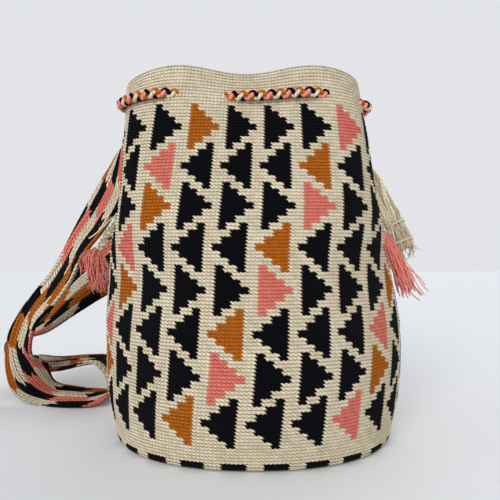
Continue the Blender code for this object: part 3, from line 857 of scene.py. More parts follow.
strap = {
    "width": 0.078,
    "thickness": 0.0036,
    "clearance": 0.0008,
    "step": 0.025,
    "rowStep": 0.0026,
    "columns": 80,
    "cords": 16,
    "cordDepth": 0.0007,
    "groove": (0.006, 0.0022, 0.0022),
    "seamTop": 18,
    "seamLength": 0.074,
    "leftStitch": -75,
    "rightStitch": 78,
    "layersApart": 0.0064,
    "crease": (0.014, 0.009),
    "uvLength": 2.0,
    "cordStitch": 0.0044,
    "lean": 1.3,
    "stripe": 0.035,
    "stripeStart": 0.223,
    "band": 0.020,
    "bandEdge": 0.006,
    "bandSlope": 0.8,
    "stretched": (0.175, 0.245),
    "early": 0.027,
    "stripes": ("cream", "black", "mustard", "cream", "black", "coral"),
    "cream": ((216, 202, 172), (236, 224, 197)),
    "besideGroove": (0.45, 2.6, 1.5),
    "grooveRun": (0.10, 0.12, 0.03),
    "cordRise": 0.0001,
    "edgeShare": 0.2,
    "hand": (0.00008, 0.0002),
    "seed": 3,
    "floorGap": 0.0002,
    "lookAhead": 0.0003,
    "roughness": 0.85,
    "stitchDepth": 0.85,
    "stitchSteepness": 2.5,
    "cordSteepness": 3,
    # Bead height to brightness: painted shade in the valleys between cords
    "beadShade": (0.7, 0.18, 1.12),
    "fibreShade": (0.86, 1.08),
    "fibreBump": 0.2,
    "bump": 0.0015,
}

# Steps of the free run, by where they are counted from: place, way across, crease and width share
strapSteps = {
    "left": (
        ((-0.006, 0, 0.0105), (-0.05, 1, 0.08), 0, 1),
        ((-0.013, -0.0005, 0.0135), (-0.2, 0.97, 0.15), 0, 1),
        ((-0.0188, -0.0008, 0.003), (-0.25, 0.95, 0.17), 0, 1),
        ((-0.0228, -0.0006, -0.0116), (-0.36, 0.91, 0.2), 0.001, 1),
        ((-0.0313, -0.0006, -0.0367), (-0.48, 0.84, 0.26), 0.002, 1),
        ((-0.0448, -0.0001, -0.0613), (-0.45, 0.83, 0.31), 0.003, 1),
        ((-0.0617, 0.0026, -0.0855), (-0.35, 0.86, 0.36), 0.004, 1),
    ),
    "foot": (
        ((-0.0544, 0.0621, 0.1435), (-0.33, 0.85, 0.41), 0.005, 1),
        ((-0.0705, 0.0676, 0.121), (-0.28, 0.85, 0.43), 0.006, 0.97),
        ((-0.0886, 0.0723, 0.1009), (-0.29, 0.86, 0.41), 0.006, 0.92),
        ((-0.102, 0.078, 0.0787), (-0.46, 0.78, 0.4), 0.006, 0.84),
        ((-0.1105, 0.086, 0.056), (-0.7, 0.6, 0.25), 0.005, 0.72),
        ((-0.108, 0.0905, 0.037), (-0.9, 0.28, 0.02), 0.004, 0.64),
        ((-0.0985, 0.0875, 0.0215), (-0.88, -0.35, -0.16), 0.003, 0.54),
        ((-0.084, 0.089, 0.01), (-0.58, -0.8, -0.1), 0.002, 0.52),
        ((-0.056, 0.091, 0.0052), (-0.25, -0.96, -0.05), 0.001, 0.78),
        ((-0.033, 0.097, 0.0045), (-0.1, -0.99, -0.03), 0, 0.9),
        ((-0.019, 0.1, 0.0085), (-0.05, -1, 0), 0, 0.95),
        ((-0.013, 0.103, 0.0235), (-0.05, -1, 0.06), 0, 1),
        ((-0.022, 0.106, 0.0365), (-0.08, -0.98, 0.13), 0, 1),
        ((-0.047, 0.115, 0.0365), (-0.13, -0.98, 0), 0, 0.95),
        ((-0.074, 0.139, 0.0315), (-0.16, -0.97, -0.12), 0, 0.64),
        ((-0.101, 0.15, 0.0275), (-0.2, -0.95, -0.16), 0, 0.64),
        ((-0.129, 0.154, 0.032), (-0.2, -0.97, -0.1), 0, 0.72),
        ((-0.141, 0.161, 0.044), (-0.15, -0.98, 0), 0, 0.70),
        ((-0.133, 0.165, 0.057), (-0.05, -0.98, -0.15), 0.001, 0.71),
        ((-0.11, 0.164, 0.0755), (0.08, -0.85, -0.45), 0.001, 0.79),
        ((-0.085, 0.164, 0.1015), (0.2, -0.7, -0.66), 0.002, 0.86),
        ((-0.058, 0.166, 0.1255), (0.3, -0.62, -0.72), 0.003, 0.92),
        ((-0.029, 0.167, 0.1455), (0.3, -0.52, -0.76), 0.003, 0.95),
        ((0.01, 0.162, 0.159), (0.15, -0.35, -0.9), 0.003, 1),
    ),
    "back": (
        ((-0.075, 0.037, 0.164), (0, -0.2, -0.97), 0.003, 1),
        ((-0.04, 0.042, 0.164), (0, 0.3, -0.95), 0.002, 1),
        ((-0.008, 0.0455, 0.163), (0, 0.85, -0.5), 0, 1),
        ((0.024, 0.046, 0.164), (0, 0.97, 0.2), 0, 1),
        ((0.056, 0.038, 0.17), (-0.05, 0.65, 0.75), 0, 1),
    ),
    "right": (
        ((-0.005, 0.069, -0.084), (-0.1, 0.5, 0.86), 0, 1),
        ((0.0075, 0.044, -0.077), (-0.1, 0.64, 0.76), 0, 1),
        ((0.0175, 0.02, -0.061), (-0.16, 0.84, 0.5), 0, 1),
        ((0.013, 0.004, -0.04), (-0.16, 0.95, 0.2), 0, 1),
    ),
}

# The fold over the right seam: how far down the seam, how far out and how tilted
foldSteps = (
    (0.26, 1, 0),
    (0.10, 1, 0.15),
    (-0.03, 0.9, 0.7),
    (-0.075, 0.5, math.pi / 2),
    (-0.04, 0.1, 2.4),
)


def unit(v):
    return v / np.linalg.norm(v, axis=-1, keepdims=True)


def strapReach():
    return skin + strap["clearance"] + strap["thickness"] / 2


def roundsOver(drop):
    # Rounds of the wall that a drop of that height takes
    return drop / (bag["height"] - bag["baseLift"]) * bag["rounds"]


def seamRound(share):
    return strap["seamTop"] + roundsOver(strap["seamLength"]) * share


def strapAcross():
    return strap["width"] * (np.arange(strap["columns"] + 1) / strap["columns"] - 0.5)


def seamSection(stitch, share, turned):
    # Middle surface and the way to the upper face, where the strap lies on the wall
    at = seamRound(share)
    stitches = stitch + strapAcross() * (1 if turned else -1) / stitchWidth(at)
    middle = wallPoints(at, stitches, strapReach())
    return middle, unit(wallPoints(at, stitches, 0) - middle)


def foldSection(stitch, share, out, tilt):
    at = seamRound(share)
    stitches = stitch + strapAcross() / stitchWidth(at)
    middle = wallPoints(at, stitches, strapReach() + out)
    outward = unit(middle - wallPoints(at, stitches, 0))
    return middle, outward * math.cos(tilt) + np.array((0, 0, math.sin(tilt)))


def freeSections():
    # The free run: over the left seam, down to the left, round on the table, up behind the bag
    starts = {
        "left": np.array(wallPoint(seamRound(0), strap["leftStitch"], strapReach())),
        "right": np.array(wallPoint(seamRound(0), strap["rightStitch"], strapReach())),
        "foot": np.array((-belly[1] / 2, 0, 0)),
        "back": np.array((0, belly[3], 0)),
    }
    steps = [step for run in strapSteps.values() for step in run]
    places = [starts["left"]]
    places += [starts[name] + np.array(s[0]) for name, run in strapSteps.items() for s in run]
    high = strapReach() + strap["layersApart"]
    last = wallPoint(seamRound(foldSteps[0][0]), strap["rightStitch"], high)
    places = np.array([*places, np.array(last)])
    ways = np.array([steps[0][1], *(s[1] for s in steps), steps[-1][1]], float)
    creases = [0, *(s[2] for s in steps), 0]
    shares = [1, *(s[3] for s in steps), 1]
    along = lengthsAlong(places)
    stops = []
    for a, b in zip(along, along[1:]):
        count = max(1, round((b - a) / strap["step"]))
        stops += [a + (b - a) * k / count for k in range(count)]
    stops = np.array(stops[1:])
    line = smoothCurve(along, places, stops)
    near = strap["lookAhead"]
    ahead = smoothCurve(along, places, stops + near) - smoothCurve(along, places, stops - near)
    wide = smoothCurve(along, ways, stops)
    crease = np.maximum(smoothCurve(along, creases, stops), 0)
    share = smoothCurve(along, shares, stops)
    hill = bellAcross(*strap["crease"])
    sections = []
    for centre, forward, way, high, narrow in zip(line, unit(ahead), wide, crease, share):
        way = unit(way - forward * np.dot(way, forward))
        normal = np.cross(way, forward)
        middle = centre + np.outer(strapAcross() * narrow, way) + np.outer(hill * high, normal)
        low = middle[:, 2].min() - abs(normal[2]) * strap["thickness"] / 2 - apart
        middle[:, 2] -= min(low, 0)
        sections.append((middle, np.tile(normal, (len(middle), 1))))
    return sections


def bellAcross(place, wide):
    # A smooth bump across the strap
    return np.exp(-(((strapAcross() - place) / wide) ** 2))


def strapSections():
    shares = np.linspace(0, 1, 5)
    left = [seamSection(strap["leftStitch"], share, False) for share in shares[::-1]]
    right = [seamSection(strap["rightStitch"], share, True) for share in shares]
    fold = [
        foldSection(strap["rightStitch"], share, out * strap["layersApart"], tilt)
        for share, out, tilt in foldSteps
    ]
    return left + freeSections() + fold + right


def strapSurface():
    # The strap's middle surface, its upper way, and the length along it, row by row
    middles, normals = (np.array(part) for part in zip(*strapSections()))
    along = lengthsAlong(middles[:, strap["columns"] // 2])
    at = np.linspace(0, along[-1], int(along[-1] / strap["rowStep"]) + 1)
    middle = smoothCurve(along, middles, at)
    normal = unit(smoothCurve(along, normals, at))
    lowest = strap["thickness"] / 2 * np.abs(normal[:, :, 2]) + strap["floorGap"]
    middle[:, :, 2] = np.maximum(middle[:, :, 2], lowest)
    return middle, normal, at


def addStrap():
    middle, normal, at = strapSurface()
    rows, columns = len(at) - 1, strap["columns"]

    # A groove with a low ridge beside it, along the free run only
    place, spread, depth = strap["groove"]
    height, away, wider = strap["besideGroove"]
    profile = depth * height * bellAcross(place - away * spread, spread * wider)
    profile = profile - depth * bellAcross(place, spread)
    first, last, soft = strap["grooveRun"]
    ends = np.clip(np.minimum(at - first, at[-1] - last - at) / soft, 0, 1)
    middle = middle + normal * (ends[:, None] * profile[None, :])[:, :, None]

    per = columns // strap["cords"]
    valley = (1 + np.cos(2 * math.pi * np.arange(columns + 1) / per)) / 2
    half = strap["thickness"] / 2 + strap["cordRise"] - strap["cordDepth"] * valley
    half[[0, -1]] = strap["thickness"] * strap["edgeShare"]
    hand, limit = strap["hand"]
    chance = np.random.default_rng(strap["seed"])
    uneven = np.clip(chance.normal(0, hand, (rows + 1, columns + 1)), -limit, limit)

    def place(i, j):
        # Over the upper face, back along the lower one and closed at the first column
        front, closing = i <= columns, i == 2 * columns + 2
        q = np.where(closing, 0, np.where(front, i, 2 * columns + 1 - i))
        side = np.where(front | closing, 1.0, -1.0)
        ended = (j == 0) | (j == rows)
        reach = np.where(ended, 0.0, half[q] + uneven[j, q])
        return middle[j, q] + normal[j, q] * (side * reach)[:, None]

    def uvAt(i, j):
        return i / (columns + 1), at[j] / strap["uvLength"]

    piece = gridPiece("strapWeave", 2 * columns + 2, rows, place, uvAt, makeStrapMaterial())
    placePiece(piece, "woven_black", "shoulder_strap")
    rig.sheet(piece, (strap["width"], float(at[-1])), "hung", rests_on=("bag_body",))
    print("strap woven", round(float(at[-1]), 3), "m long")


def makeStrapMaterial():
    # Twined cords side by side; each stitch of a cord takes its colour from slanting stripes
    material, tree, shader = newMaterial("wovenStrap", strap["roughness"])
    u, v = uvOf(tree)
    cords, columns = strap["cords"], strap["columns"]
    rear = u > 0.99999
    mirrored = 2 - 1 / (columns + 1) - u
    inCords = (u * (1 - rear) + mirrored * rear) * (cords * (columns + 1) / columns)
    cord, x = inCords.floor(), inCords.fraction()
    lean = (x - 0.5) * strap["lean"] * (cord % 2 * 2 - 1)
    length = v * strap["uvLength"]
    y = length / strap["cordStitch"] + lean
    stitch = y.floor()

    across = (cord + 0.5) * (strap["width"] / cords) - (strap["width"] / 2 + strap["bandEdge"])
    inBands = across / strap["band"]
    late = inBands.floor() * strap["stripe"] + strap["stripeStart"]
    late = late + (1 - inBands.fraction()) * (strap["band"] * strap["bandSlope"])
    early = length.ranged(*strap["stretched"], strap["early"], 0)
    phase = stitch * strap["cordStitch"] + early - late
    phase = phase / strap["stripe"] % len(strap["stripes"])

    fuzz = useGroup(tree, fuzzGroup, Size=1.0)
    colour = driftingCream(tree, fuzz, strap)
    for number, name in enumerate(strap["stripes"][1:], 1):
        colour = mixColour(tree, phase > number, colour, linear(yarn[name]))
    deep = strap["stitchDepth"]
    hill = y.fraction().hill(strap["stitchSteepness"]) * deep + (1 - deep)
    bead = x.hill(strap["cordSteepness"]) * hill
    finishStitches(tree, shader, colour, bead, fuzz, (cord, stitch), strap)
    return material


addStrap()


# Yarn, cords and tassels

yarnLook = {
    "plyTurns": 1 / 0.0042,
    # The coral yarn, painted lighter than the bag's coral to stand in for the light that loose strands catch
    "tuftColour": (250, 148, 132),
    # Bead height to brightness: painted shade in the grooves between plies
    "beadShade": (0.6, 0.55, 1.06),
    "fibreShade": (0.88, 1.06),
    "ownShade": (0.60, 1.18),
    "ownStep": 0.618,
    "ownStart": 0.6,
    "numberMargin": 0.05,
    "fibreBump": 0.3,
    "bump": 0.0004,
}


def makeYarnMaterial(name):
    # Two-ply yarn with slanting lines of painted shade between the plies. U goes round it. V is the length along it
    # plus the yarn's number, which gives each yarn its own brightness
    material, tree, shader = newMaterial(name + "Yarn")
    u, v = uvOf(tree)
    ply = (v * yarnLook["plyTurns"] + u * 2).fraction().hill(2)
    number = (v + yarnLook["numberMargin"]).floor()
    own = (number * yarnLook["ownStep"] + yarnLook["ownStart"]).fraction()
    own = own.ranged(0, 1, *yarnLook["ownShade"])
    # Coral yarn takes the lighter coral, which has painted light in it
    colour = linear(yarnLook["tuftColour"] if name == "coral" else yarn[name])
    fuzz = useGroup(tree, fuzzGroup, Size=1.0)
    finishCotton(tree, shader, colour, ply, fuzz, own, yarnLook)
    return material


yarnMaterials = {name: makeYarnMaterial(name) for name in yarn}


def resample(route, step):
    # The route's smooth line, at equal steps, and its length
    route = pointsOf(route)
    along = lengthsAlong(route)
    fine = smoothCurve(along, route, np.linspace(0, along[-1], len(route) * 12))
    along = lengthsAlong(fine)
    at = np.linspace(0, along[-1], max(3, int(along[-1] / step) + 1))
    return np.stack([np.interp(at, along, fine[:, k]) for k in range(3)], axis=1), float(along[-1])


def pathOf(line):
    return [tuple(map(float, p)) for p in line]


def framesOf(line):
    # Two ways across a line at each of its points, carried along it without twist
    ahead = unit(np.gradient(line, axis=0))
    side = np.cross(ahead[0], (0, 0, 1) if abs(ahead[0, 2]) < 0.9 else (0, 1, 0))
    first = [unit(side)]
    for way in ahead[1:]:
        side = first[-1] - way * np.dot(first[-1], way)
        first.append(unit(side))
    first = np.array(first)
    return first, np.cross(ahead, first)


def around(ways, angle):
    return ways[0] * np.cos(angle)[:, None] + ways[1] * np.sin(angle)[:, None]


def tube(name, line, radius, sides, colour, number=0):
    # A round yarn along the line, closed at its ends; its number sets its brightness
    ways, lengths = framesOf(line), lengthsAlong(line)
    line, *ways, lengths = (np.concatenate([p[:1], p, p[-1:]]) for p in (line, *ways, lengths))
    size = np.full(len(line), radius)
    size[[0, -1]] = 0

    def place(i, j):
        angle = 2 * math.pi * np.mod(i, sides) / sides
        return line[j] + around([way[j] for way in ways], angle) * size[j][:, None]

    def uvAt(i, j):
        return i / sides, lengths[j] + number

    return gridPiece(name, sides, len(line) - 1, place, uvAt, yarnMaterials[colour])


def placeJoined(name, pieces, slot, node):
    bpy.ops.object.select_all(action="DESELECT")
    for piece in pieces:
        piece.select_set(True)
    bpy.context.view_layer.objects.active = pieces[0]
    bpy.ops.object.join()
    whole = bpy.context.object
    whole.name = name
    whole.data.name = name
    return placePiece(whole, slot, node)


drawstring = {
    "round": 8,
    "radius": 0.003,
    "clearance": 0.001,
    "holes": (-4.4, 22.6, 37, 63, 77, 103, 117, 143, 157, 183, 197, 220.3),
    "crossing": 5,
    "crossingPoints": (-4.5, -1.5, 1.5, 4.5),
    "longStretch": 20,
    "knotStitch": 130,
    "knotRadius": 0.0085,
    "knotRoom": 3,
    "tailLength": 0.060,
    "tailSteps": ((0.002, 0), (0.012, 0.001), (0.026, 0.003), (0.042, 0.006), (0.060, 0.009)),
    "endRadius": 0.0048,
    "orbit": 0.0023,
    "weave": 0.0007,
    "strand": 0.0016,
    "pitch": 0.0145,
    "seenRadius": 0.004,
    "step": 0.0011,
}


def cordPoint(stitch):
    # Outside the wall between two holes, inside it between the next two
    turned = bag["stitches"] / 2
    offsets = [(stitch - hole + turned) % bag["stitches"] - turned for hole in drawstring["holes"]]
    nearest = min(range(len(offsets)), key=lambda k: abs(offsets[k]))
    share = math.sin(max(-1, min(1, offsets[nearest] / drawstring["crossing"])) * math.pi / 2)
    side = -share if nearest % 2 else share
    reach = bag["wall"] / 2 + skin + drawstring["radius"] + drawstring["clearance"]
    return wallPoint(drawstring["round"], stitch, side * reach - bag["wall"] / 2)


def cordRoute():
    holes, points = drawstring["holes"], drawstring["crossingPoints"]
    stitches = []
    for k, hole in enumerate(holes):
        span = (holes[(k + 1) % len(holes)] - hole) % bag["stitches"]
        stitches += [hole + step for step in points]
        first, last = hole + points[-1], hole + span + points[0]
        count = 3 if span > drawstring["longStretch"] else 1
        stitches += [first + (last - first) * (m + 1) / (count + 1) for m in range(count)]
    knotStitch, room = drawstring["knotStitch"], drawstring["knotRoom"]
    fromKnot = sorted((s - knotStitch) % bag["stitches"] for s in stitches)
    loop = [cordPoint(knotStitch + s) for s in fromKnot if room < s < bag["stitches"] - room]
    out = skin + drawstring["clearance"] + drawstring["knotRadius"]
    knot = wallPoint(drawstring["round"], knotStitch, out)
    ends = []
    for side in (1, -1):
        tail = []
        for drop, aside in drawstring["tailSteps"]:
            at = drawstring["round"] + roundsOver(drop)
            away = side * (drawstring["radius"] + apart + aside) / stitchWidth(at)
            shrink = drawstring["endRadius"] - drawstring["knotRadius"]
            shrink = shrink * drop / drawstring["tailLength"]
            high = skin + drawstring["knotRadius"] + shrink + 2 * apart
            tail.append(wallPoint(at, knotStitch + away, high))
        ends.append(tail)
    return ends[0][::-1] + loop + ends[1], knot


def strandsAlong(line):
    # A round braid of four: two strands wind one way, two the other, over and under in turn
    ahead = unit(np.gradient(line, axis=0))
    outward = unit(np.cross(ahead, (0, 0, 1)) + np.array((1e-6, 0, 0)))
    raised = np.cross(outward, ahead)
    lengths = lengthsAlong(line)
    angle = 2 * math.pi * lengths / drawstring["pitch"]
    made = []
    kinds = (("black", 1, 0), ("mustard", 1, 2), ("coral", -1, 1), ("cream", -1, 3))
    for colour, turn, first in kinds:
        swing = first * math.pi / 2 - turn * angle
        reach = drawstring["orbit"] + turn * drawstring["weave"] * np.cos(2 * swing - math.pi / 2)
        aside = outward * np.cos(swing)[:, None] + raised * np.sin(swing)[:, None]
        made.append((colour, line + aside * reach[:, None]))
    return made


knotLook = {
    "points": 90,
    "turns": 3,
    "wound": 0.52,
    "flat": 0.75,
    "sway": 0.35,
    "apart": 0.32,
    "yarn": 0.26,
}


def addDrawstring():
    route, knot = cordRoute()
    line, length = resample(route, drawstring["step"])
    strands = [
        tube(f"strand{colour}", path, drawstring["strand"], 8, colour)
        for colour, path in strandsAlong(line)
    ]
    cord = placeJoined("drawstringBraid", strands, "cord_mustard", "drawstring")
    path = pathOf([*line[::3], line[-1]])
    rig.cord(cord, path[0], length, 2 * drawstring["seenRadius"], "knot", "limp", "hanging", path=path)

    pieces = []
    for label, centre, radius in (
        ("middle", knot, drawstring["knotRadius"]),
        ("first", Vector(line[0]), drawstring["endRadius"]),
        ("second", Vector(line[-1]), drawstring["endRadius"]),
    ):
        turns = np.linspace(0, 1, knotLook["points"])
        wound = radius * knotLook["wound"]
        angle = 2 * math.pi * knotLook["turns"] * turns
        spiral = np.stack(
            [
                centre[0] + wound * np.cos(angle),
                centre[1] + wound * knotLook["flat"] * np.sin(angle),
                centre[2] + radius * (turns - 0.5) + wound * knotLook["sway"] * np.sin(angle / 2),
            ],
            axis=1,
        )
        for colour, shift in (("mustard", -1), ("black", 0), ("cream", 1)):
            moved = spiral + np.array((0, 0, shift * radius * knotLook["apart"]))
            pieces.append(tube(f"{label}{colour}", moved, radius * knotLook["yarn"], 7, colour))
    placeJoined("drawstringKnots", pieces, "cord_mustard", "drawstring")
    print("drawstring braided", round(length, 3), "m long")


addDrawstring()

seamYarn = {
    "radius": 0.0008,
    "stitches": 6,
    "bite": 0.004,
    "start": 0.006,
    "end": 0.008,
    "share": 0.84,
    "clearance": 0.0006,
}


def seamYarnRoute(stitch, turned):
    # Whip stitches down the strap's rear edge, along its foot and up its front edge
    radius = seamYarn["radius"]
    high = strapReach() + strap["thickness"] / 2 + seamYarn["clearance"] + radius
    low = skin + apart + radius
    clear = radius + seamYarn["clearance"]
    half = strap["width"] / 2
    facing = 1 if turned else -1

    def edge(side, down, out, height):
        at = strap["seamTop"] + roundsOver(down)
        return wallPoint(at, stitch + facing * side * (half + out) / stitchWidth(at), height)

    def under(share, out, height):
        at = seamRound(1) + roundsOver(out)
        return wallPoint(at, stitch + facing * share * half / stitchWidth(at), height)

    def whip(place, start, step):
        made = []
        for k in range(seamYarn["stitches"]):
            first = start + step * k
            made.append(place(first, -seamYarn["bite"], high))
            made.append(place(first + step / 4, clear, high))
            made.append(place(first + step / 2, clear + radius, low))
            made.append(place(first + step * 3 / 4, clear, high))
        return made

    pitch = (strap["seamLength"] - seamYarn["start"] - seamYarn["end"]) / seamYarn["stitches"]
    downRear = whip(lambda *at: edge(1, *at), seamYarn["start"], pitch)
    alongFoot = whip(under, seamYarn["share"], -2 * seamYarn["share"] / seamYarn["stitches"])
    upFront = whip(lambda *at: edge(-1, *at), strap["seamLength"] - seamYarn["end"], -pitch)
    return downRear + alongFoot + upFront


def addSeamYarn():
    sides = (("left", strap["leftStitch"], False), ("right", strap["rightStitch"], True))
    for side, stitch, turned in sides:
        route = pointsOf(seamYarnRoute(stitch, turned))
        along = lengthsAlong(route)
        line = smoothCurve(along, route, np.arange(0, along[-1], 0.0018))
        piece = tube(f"seamYarn{side.title()}", line, seamYarn["radius"], 6, "cream")
        placePiece(piece, "yarn_cream", f"seam_yarn_{side}")
    print("seams whipped")


addSeamYarn()

# Each yarn of a bundle lies this angle on from the last, which spreads them evenly
golden = 2.399963

tassel = {
    "yarnRadius": 0.00046,
    "step": 0.0028,
    "flatness": 0.6,
    "fringeTop": 0.0032,
    "braidRadius": 0.0036,
    "ropeRadius": 0.0038,
    "ropeYarn": 0.00075,
    "ropeTwist": 0.12,
    "wobble": 0.0014,
    "shortest": 0.78,
    "turns": (0.3, 0.7),
    "plaitStep": 0.0008,
    "ropeSway": (0.22, 0.10, 0.35),
    "frayStep": 0.0018,
    "fraySpread": (0.0016, 0.0014, 1.8),
    "curlDrop": (0.010, 0.024),
    "curlWide": (0.0030, 0.0011),
    "curlDeep": (-0.006, -0.001),
    "looseRadius": 0.0007,
    "wrapRadius": 0.0008,
    "ropeStep": 0.0016,
    "ropeYarns": 32,
    "ropeSwell": 1.2,
    "frays": 20,
    "frayRadius": 0.00042,
    "frayLength": (0.006, 0.012),
    "curls": 13,
}


def waves(share, count):
    # Half waves along a yarn, which leave its ends where they are
    return np.stack([np.sin(math.pi * (k + 1) * share) for k in range(count)], axis=1)


def tuft(name, route, radii, count, seed, colour):
    # Many yarn ends that leave one place and fan out along the route
    chance = np.random.default_rng(seed)
    route = pointsOf(route)
    along = lengthsAlong(route)
    pieces = []
    for number in range(count):
        reach = math.sqrt((number + 0.5) / count)
        angle = number * golden
        length = along[-1] * chance.uniform(tassel["shortest"], 1)
        at = np.linspace(0, length, max(5, int(length / tassel["step"])))
        line = smoothCurve(along, route, at)
        first, second = framesOf(line)
        size = np.interp(at, along, radii) * reach
        wobble = chance.normal(0, tassel["wobble"], (3, 2))
        share = at / along[-1]
        bend = waves(share, 3) @ wobble
        own, further = tassel["turns"]
        angle = angle + chance.normal(0, own) + share * chance.normal(0, further)
        x = size * np.cos(angle) + bend[:, 0]
        y = (size * np.sin(angle) * tassel["flatness"]) + bend[:, 1] * 0.5
        moved = line + first * x[:, None] + second * y[:, None]
        pieces.append(tube(f"{name}{number}", moved, tassel["yarnRadius"], 6, colour, number))
    return pieces


def bundle(name, line, radius, count, seed):
    # Loose yarns side by side, slowly turning round the line
    chance = np.random.default_rng(seed)
    first, second = framesOf(line)
    lengths = lengthsAlong(line)
    share = lengths / lengths[-1]
    pieces = []
    for number in range(count):
        orbit = (radius - tassel["ropeYarn"]) * math.sqrt((number + 0.5) / count)
        swell = waves(share, 4)
        angle = number * golden + lengths / tassel["ropeTwist"] * 2 * math.pi
        sway, spread, limit = tassel["ropeSway"]
        angle = angle + swell @ chance.normal(0, sway, 4)
        reach = orbit * (1 + np.minimum(np.abs(swell @ chance.normal(0, spread, 4)), limit))
        aside = first * (reach * np.cos(angle))[:, None] + second * (reach * np.sin(angle))[:, None]
        moved = line + aside
        pieces.append(tube(f"{name}{number}", moved, tassel["ropeYarn"], 6, "cream", number))
    return pieces


plait = {"wide": 0.0022, "deep": 0.0011, "pitch": 0.012, "yarn": 0.0009, "pair": 0.85, "lift": 0.4}


def braid(name, line):
    # Three strands of two yarns each, plaited flat
    first, second = framesOf(line)
    lengths = lengthsAlong(line)
    pieces = []
    for strand in range(3):
        angle = 2 * math.pi * (lengths / plait["pitch"] + strand / 3)
        for number, shift in enumerate((-plait["pair"], plait["pair"])):
            aside = plait["wide"] * np.sin(angle) + shift * plait["yarn"]
            out = plait["deep"] * np.sin(2 * angle) + shift * plait["yarn"] * plait["lift"]
            moved = line + second * aside[:, None] + first * out[:, None]
            count = strand * 2 + number
            pieces.append(tube(f"{name}{count}", moved, plait["yarn"], 7, "cream", count))
    return pieces


def addLeftTassel():
    out = skin + tassel["braidRadius"] - apart
    start = wallPoint(roundAt(0.184), -57.5, out)
    steps = ((0, 0, 0), (-0.006, -0.003, -0.007), (-0.011, -0.0045, -0.016), (-0.0145, -0.005, -0.025))
    route = [start + Vector(s) for s in steps]
    line, _ = resample(route, tassel["plaitStep"])
    pieces = braid("plait", line)
    placeJoined("leftBraid", pieces, "yarn_cream", "tassel_braid_left")

    below = (route[-1] - route[-2]).normalized()
    head = route[-1] + below * apart
    turn = head + below * 0.006
    steps = ((0, 0, 0), (0.001, -0.001, -0.012), (0.003, -0.001, -0.023), (0.004, 0, -0.033))
    fall = [head, *(turn + Vector(s) for s in steps)]
    pieces = tuft("leftYarn", fall, (0.0024, 0.0060, 0.0092, 0.0098, 0.0092), 54, 11, "coral")
    chance = np.random.default_rng(5)
    for number in range(tassel["curls"]):
        drop = chance.uniform(*tassel["curlDrop"])
        first, further = tassel["curlWide"]
        wide = first + further * number
        deep = chance.uniform(*tassel["curlDeep"])
        curl = [
            head,
            head + Vector((-wide * 0.5, deep * 0.6, chance.uniform(0, 0.003))),
            head + Vector((-wide, deep, -0.003 - chance.uniform(0, 0.002))),
            head + Vector((-wide - chance.uniform(-0.002, 0.002), deep, -drop)),
        ]
        bent, _ = resample(curl, tassel["step"])
        pieces.append(tube(f"curl{number}", bent, tassel["yarnRadius"], 6, "coral", number))
    placeJoined("leftFringe", pieces, "yarn_coral", "tassel_fringe_left")

    anchor = wallPoint(roundAt(0.1925), -59, skin + tassel["looseRadius"])
    steps = ((0, 0, 0), (-0.004, -0.005, -0.001), (-0.010, -0.009, -0.006), (-0.018, -0.010, -0.014))
    loose = [anchor + Vector(s) for s in (*steps, (-0.025, -0.009, -0.020), (-0.030, -0.008, -0.023))]
    line, length = resample(loose, tassel["ropeStep"])
    piece = tube("looseYarn", line, tassel["looseRadius"], 8, "cream")
    placePiece(piece, "yarn_cream", "loose_yarn_left")
    path = pathOf(line)
    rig.cord(piece, path[0], length, 2 * tassel["looseRadius"], "bare", "limp", "hanging", path=path)


def ropeRoutes():
    radius = tassel["ropeRadius"]
    out = skin + apart + radius
    between = 2 * radius + 2 * apart
    start = wallPoint(roundAt(0.2185), 60, out)
    steps = ((0, 0, 0), (0.0085, -0.002, -0.0175), (0.0175, -0.003, -0.0335), (0.025, -0.003, -0.0475))
    front = [start + Vector(s) for s in (*steps, (0.0298, -0.003, -0.0595))]
    rear = []
    for before, place, after in zip([front[0], *front], front, [*front[1:], front[-1]]):
        ahead = (after - before).normalized()
        rear.append(place + Vector((0, 1, 0)).cross(ahead).normalized() * -between)
    rear.insert(0, wallPoint(roundAt(0.2345), 60, out - apart))
    return front, rear


def wrapRoute(front, rear, index, share):
    near = front[index].lerp(front[index + 1], share)
    far = rear[index + 1].lerp(rear[index + 2], share)
    ahead = (front[index + 1] - front[index]).normalized()
    over = far - near
    over = (over - ahead * over.dot(ahead)).normalized()
    aside = ahead.cross(over)
    half = (far - near).length / 2
    reach = tassel["ropeRadius"] + apart + tassel["wrapRadius"]
    loop = []
    for turn in np.linspace(0.2, 2 * math.pi + 0.2, 33):
        end = math.copysign(half, math.cos(turn))
        along = over * (end + reach * math.cos(turn)) + ahead * 0.0016 * (turn / math.pi - 1)
        loop.append((near + far) / 2 + along + aside * reach * math.sin(turn))
    return loop


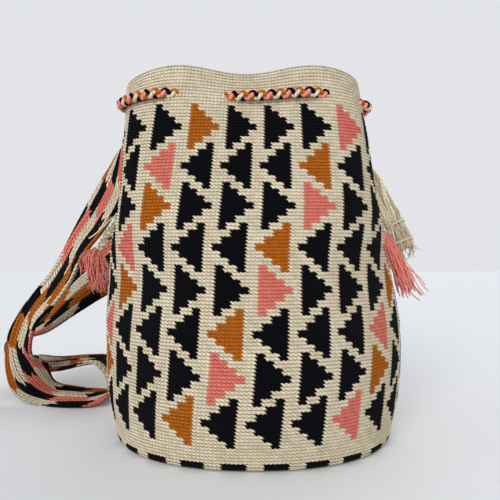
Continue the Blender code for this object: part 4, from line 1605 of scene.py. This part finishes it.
def addRightTassel():
    front, rear = ropeRoutes()
    wraps = []
    for label, index, share in (("upper", 2, 0.3), ("lower", 3, 0.45)):
        loop = pointsOf(wrapRoute(front, rear, index, share))
        piece = tube(f"rightWrap{label.title()}", loop, tassel["wrapRadius"], 6, "cream")
        wraps.append(placePiece(piece, "yarn_cream", f"tassel_wrap_right_{label}"))
    for label, route, held in (("front", front, wraps), ("rear", rear, [])):
        line, length = resample(route, tassel["ropeStep"])
        wide = tassel["ropeRadius"] * tassel["ropeSwell"]
        pieces = bundle(f"rope{label}", line, wide, tassel["ropeYarns"], 20 + len(label))
        node = f"tassel_rope_right_{label}"
        piece = placeJoined(f"rightRope{label.title()}", pieces, "yarn_cream", node)
        chance = np.random.default_rng(len(label))
        ends = []
        bent, start, out = tassel["fraySpread"]
        for number in range(tassel["frays"]):
            ahead = Vector(unit(line[-1] - line[-4]))
            fray = Vector(chance.normal(0, bent, 3))
            first = Vector(line[-4]) + Vector(chance.normal(0, start, 3))
            far = chance.uniform(*tassel["frayLength"])
            frayed = [first, first + ahead * 0.5 * far + fray * 0.5]
            frayed.append(first + ahead * far + fray * out)
            path, _ = resample(frayed, tassel["frayStep"])
            ends.append(tube(f"fray{number}", path, tassel["frayRadius"], 5, "cream", number))
        frays = placeJoined(f"rightFray{label.title()}", ends, "yarn_cream", node)
        path = pathOf(line)
        width = 2 * tassel["ropeRadius"]
        onIt = (frays, *held)
        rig.cord(
            piece, path[0], length, width, "bare", "limp", "hanging", path=path, with_pieces=onIt
        )
    start = wallPoint(roundAt(0.177), 58, skin + apart + tassel["fringeTop"])
    steps = ((0, 0, 0), (0.005, -0.005, -0.012), (0.010, -0.007, -0.026), (0.017, -0.007, -0.043))
    fall = [start + Vector(s) for s in (*steps, (0.022, -0.006, -0.059))]
    pieces = tuft("rightYarn", fall, (0.0022, 0.0032, 0.0072, 0.0098, 0.0105), 60, 17, "coral")
    steps = ((0, 0, 0), (0.003, -0.005, -0.014), (0.012, -0.007, -0.028), (0.024, -0.007, -0.045))
    fall = [start + Vector(s) for s in (*steps, (0.039, -0.006, -0.062))]
    pieces += tuft("strayYarn", fall, (0.0014, 0.0022, 0.0036, 0.0050, 0.0060), 9, 23, "coral")
    placeJoined("rightFringe", pieces, "yarn_coral", "tassel_fringe_right")
    print("tassels hung")


addLeftTassel()
addRightTassel()

with open("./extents.json", "w") as report:
    json.dump({"cad": [list(c) for c in cadBox], "visual": [list(c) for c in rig.bounds()]}, report)
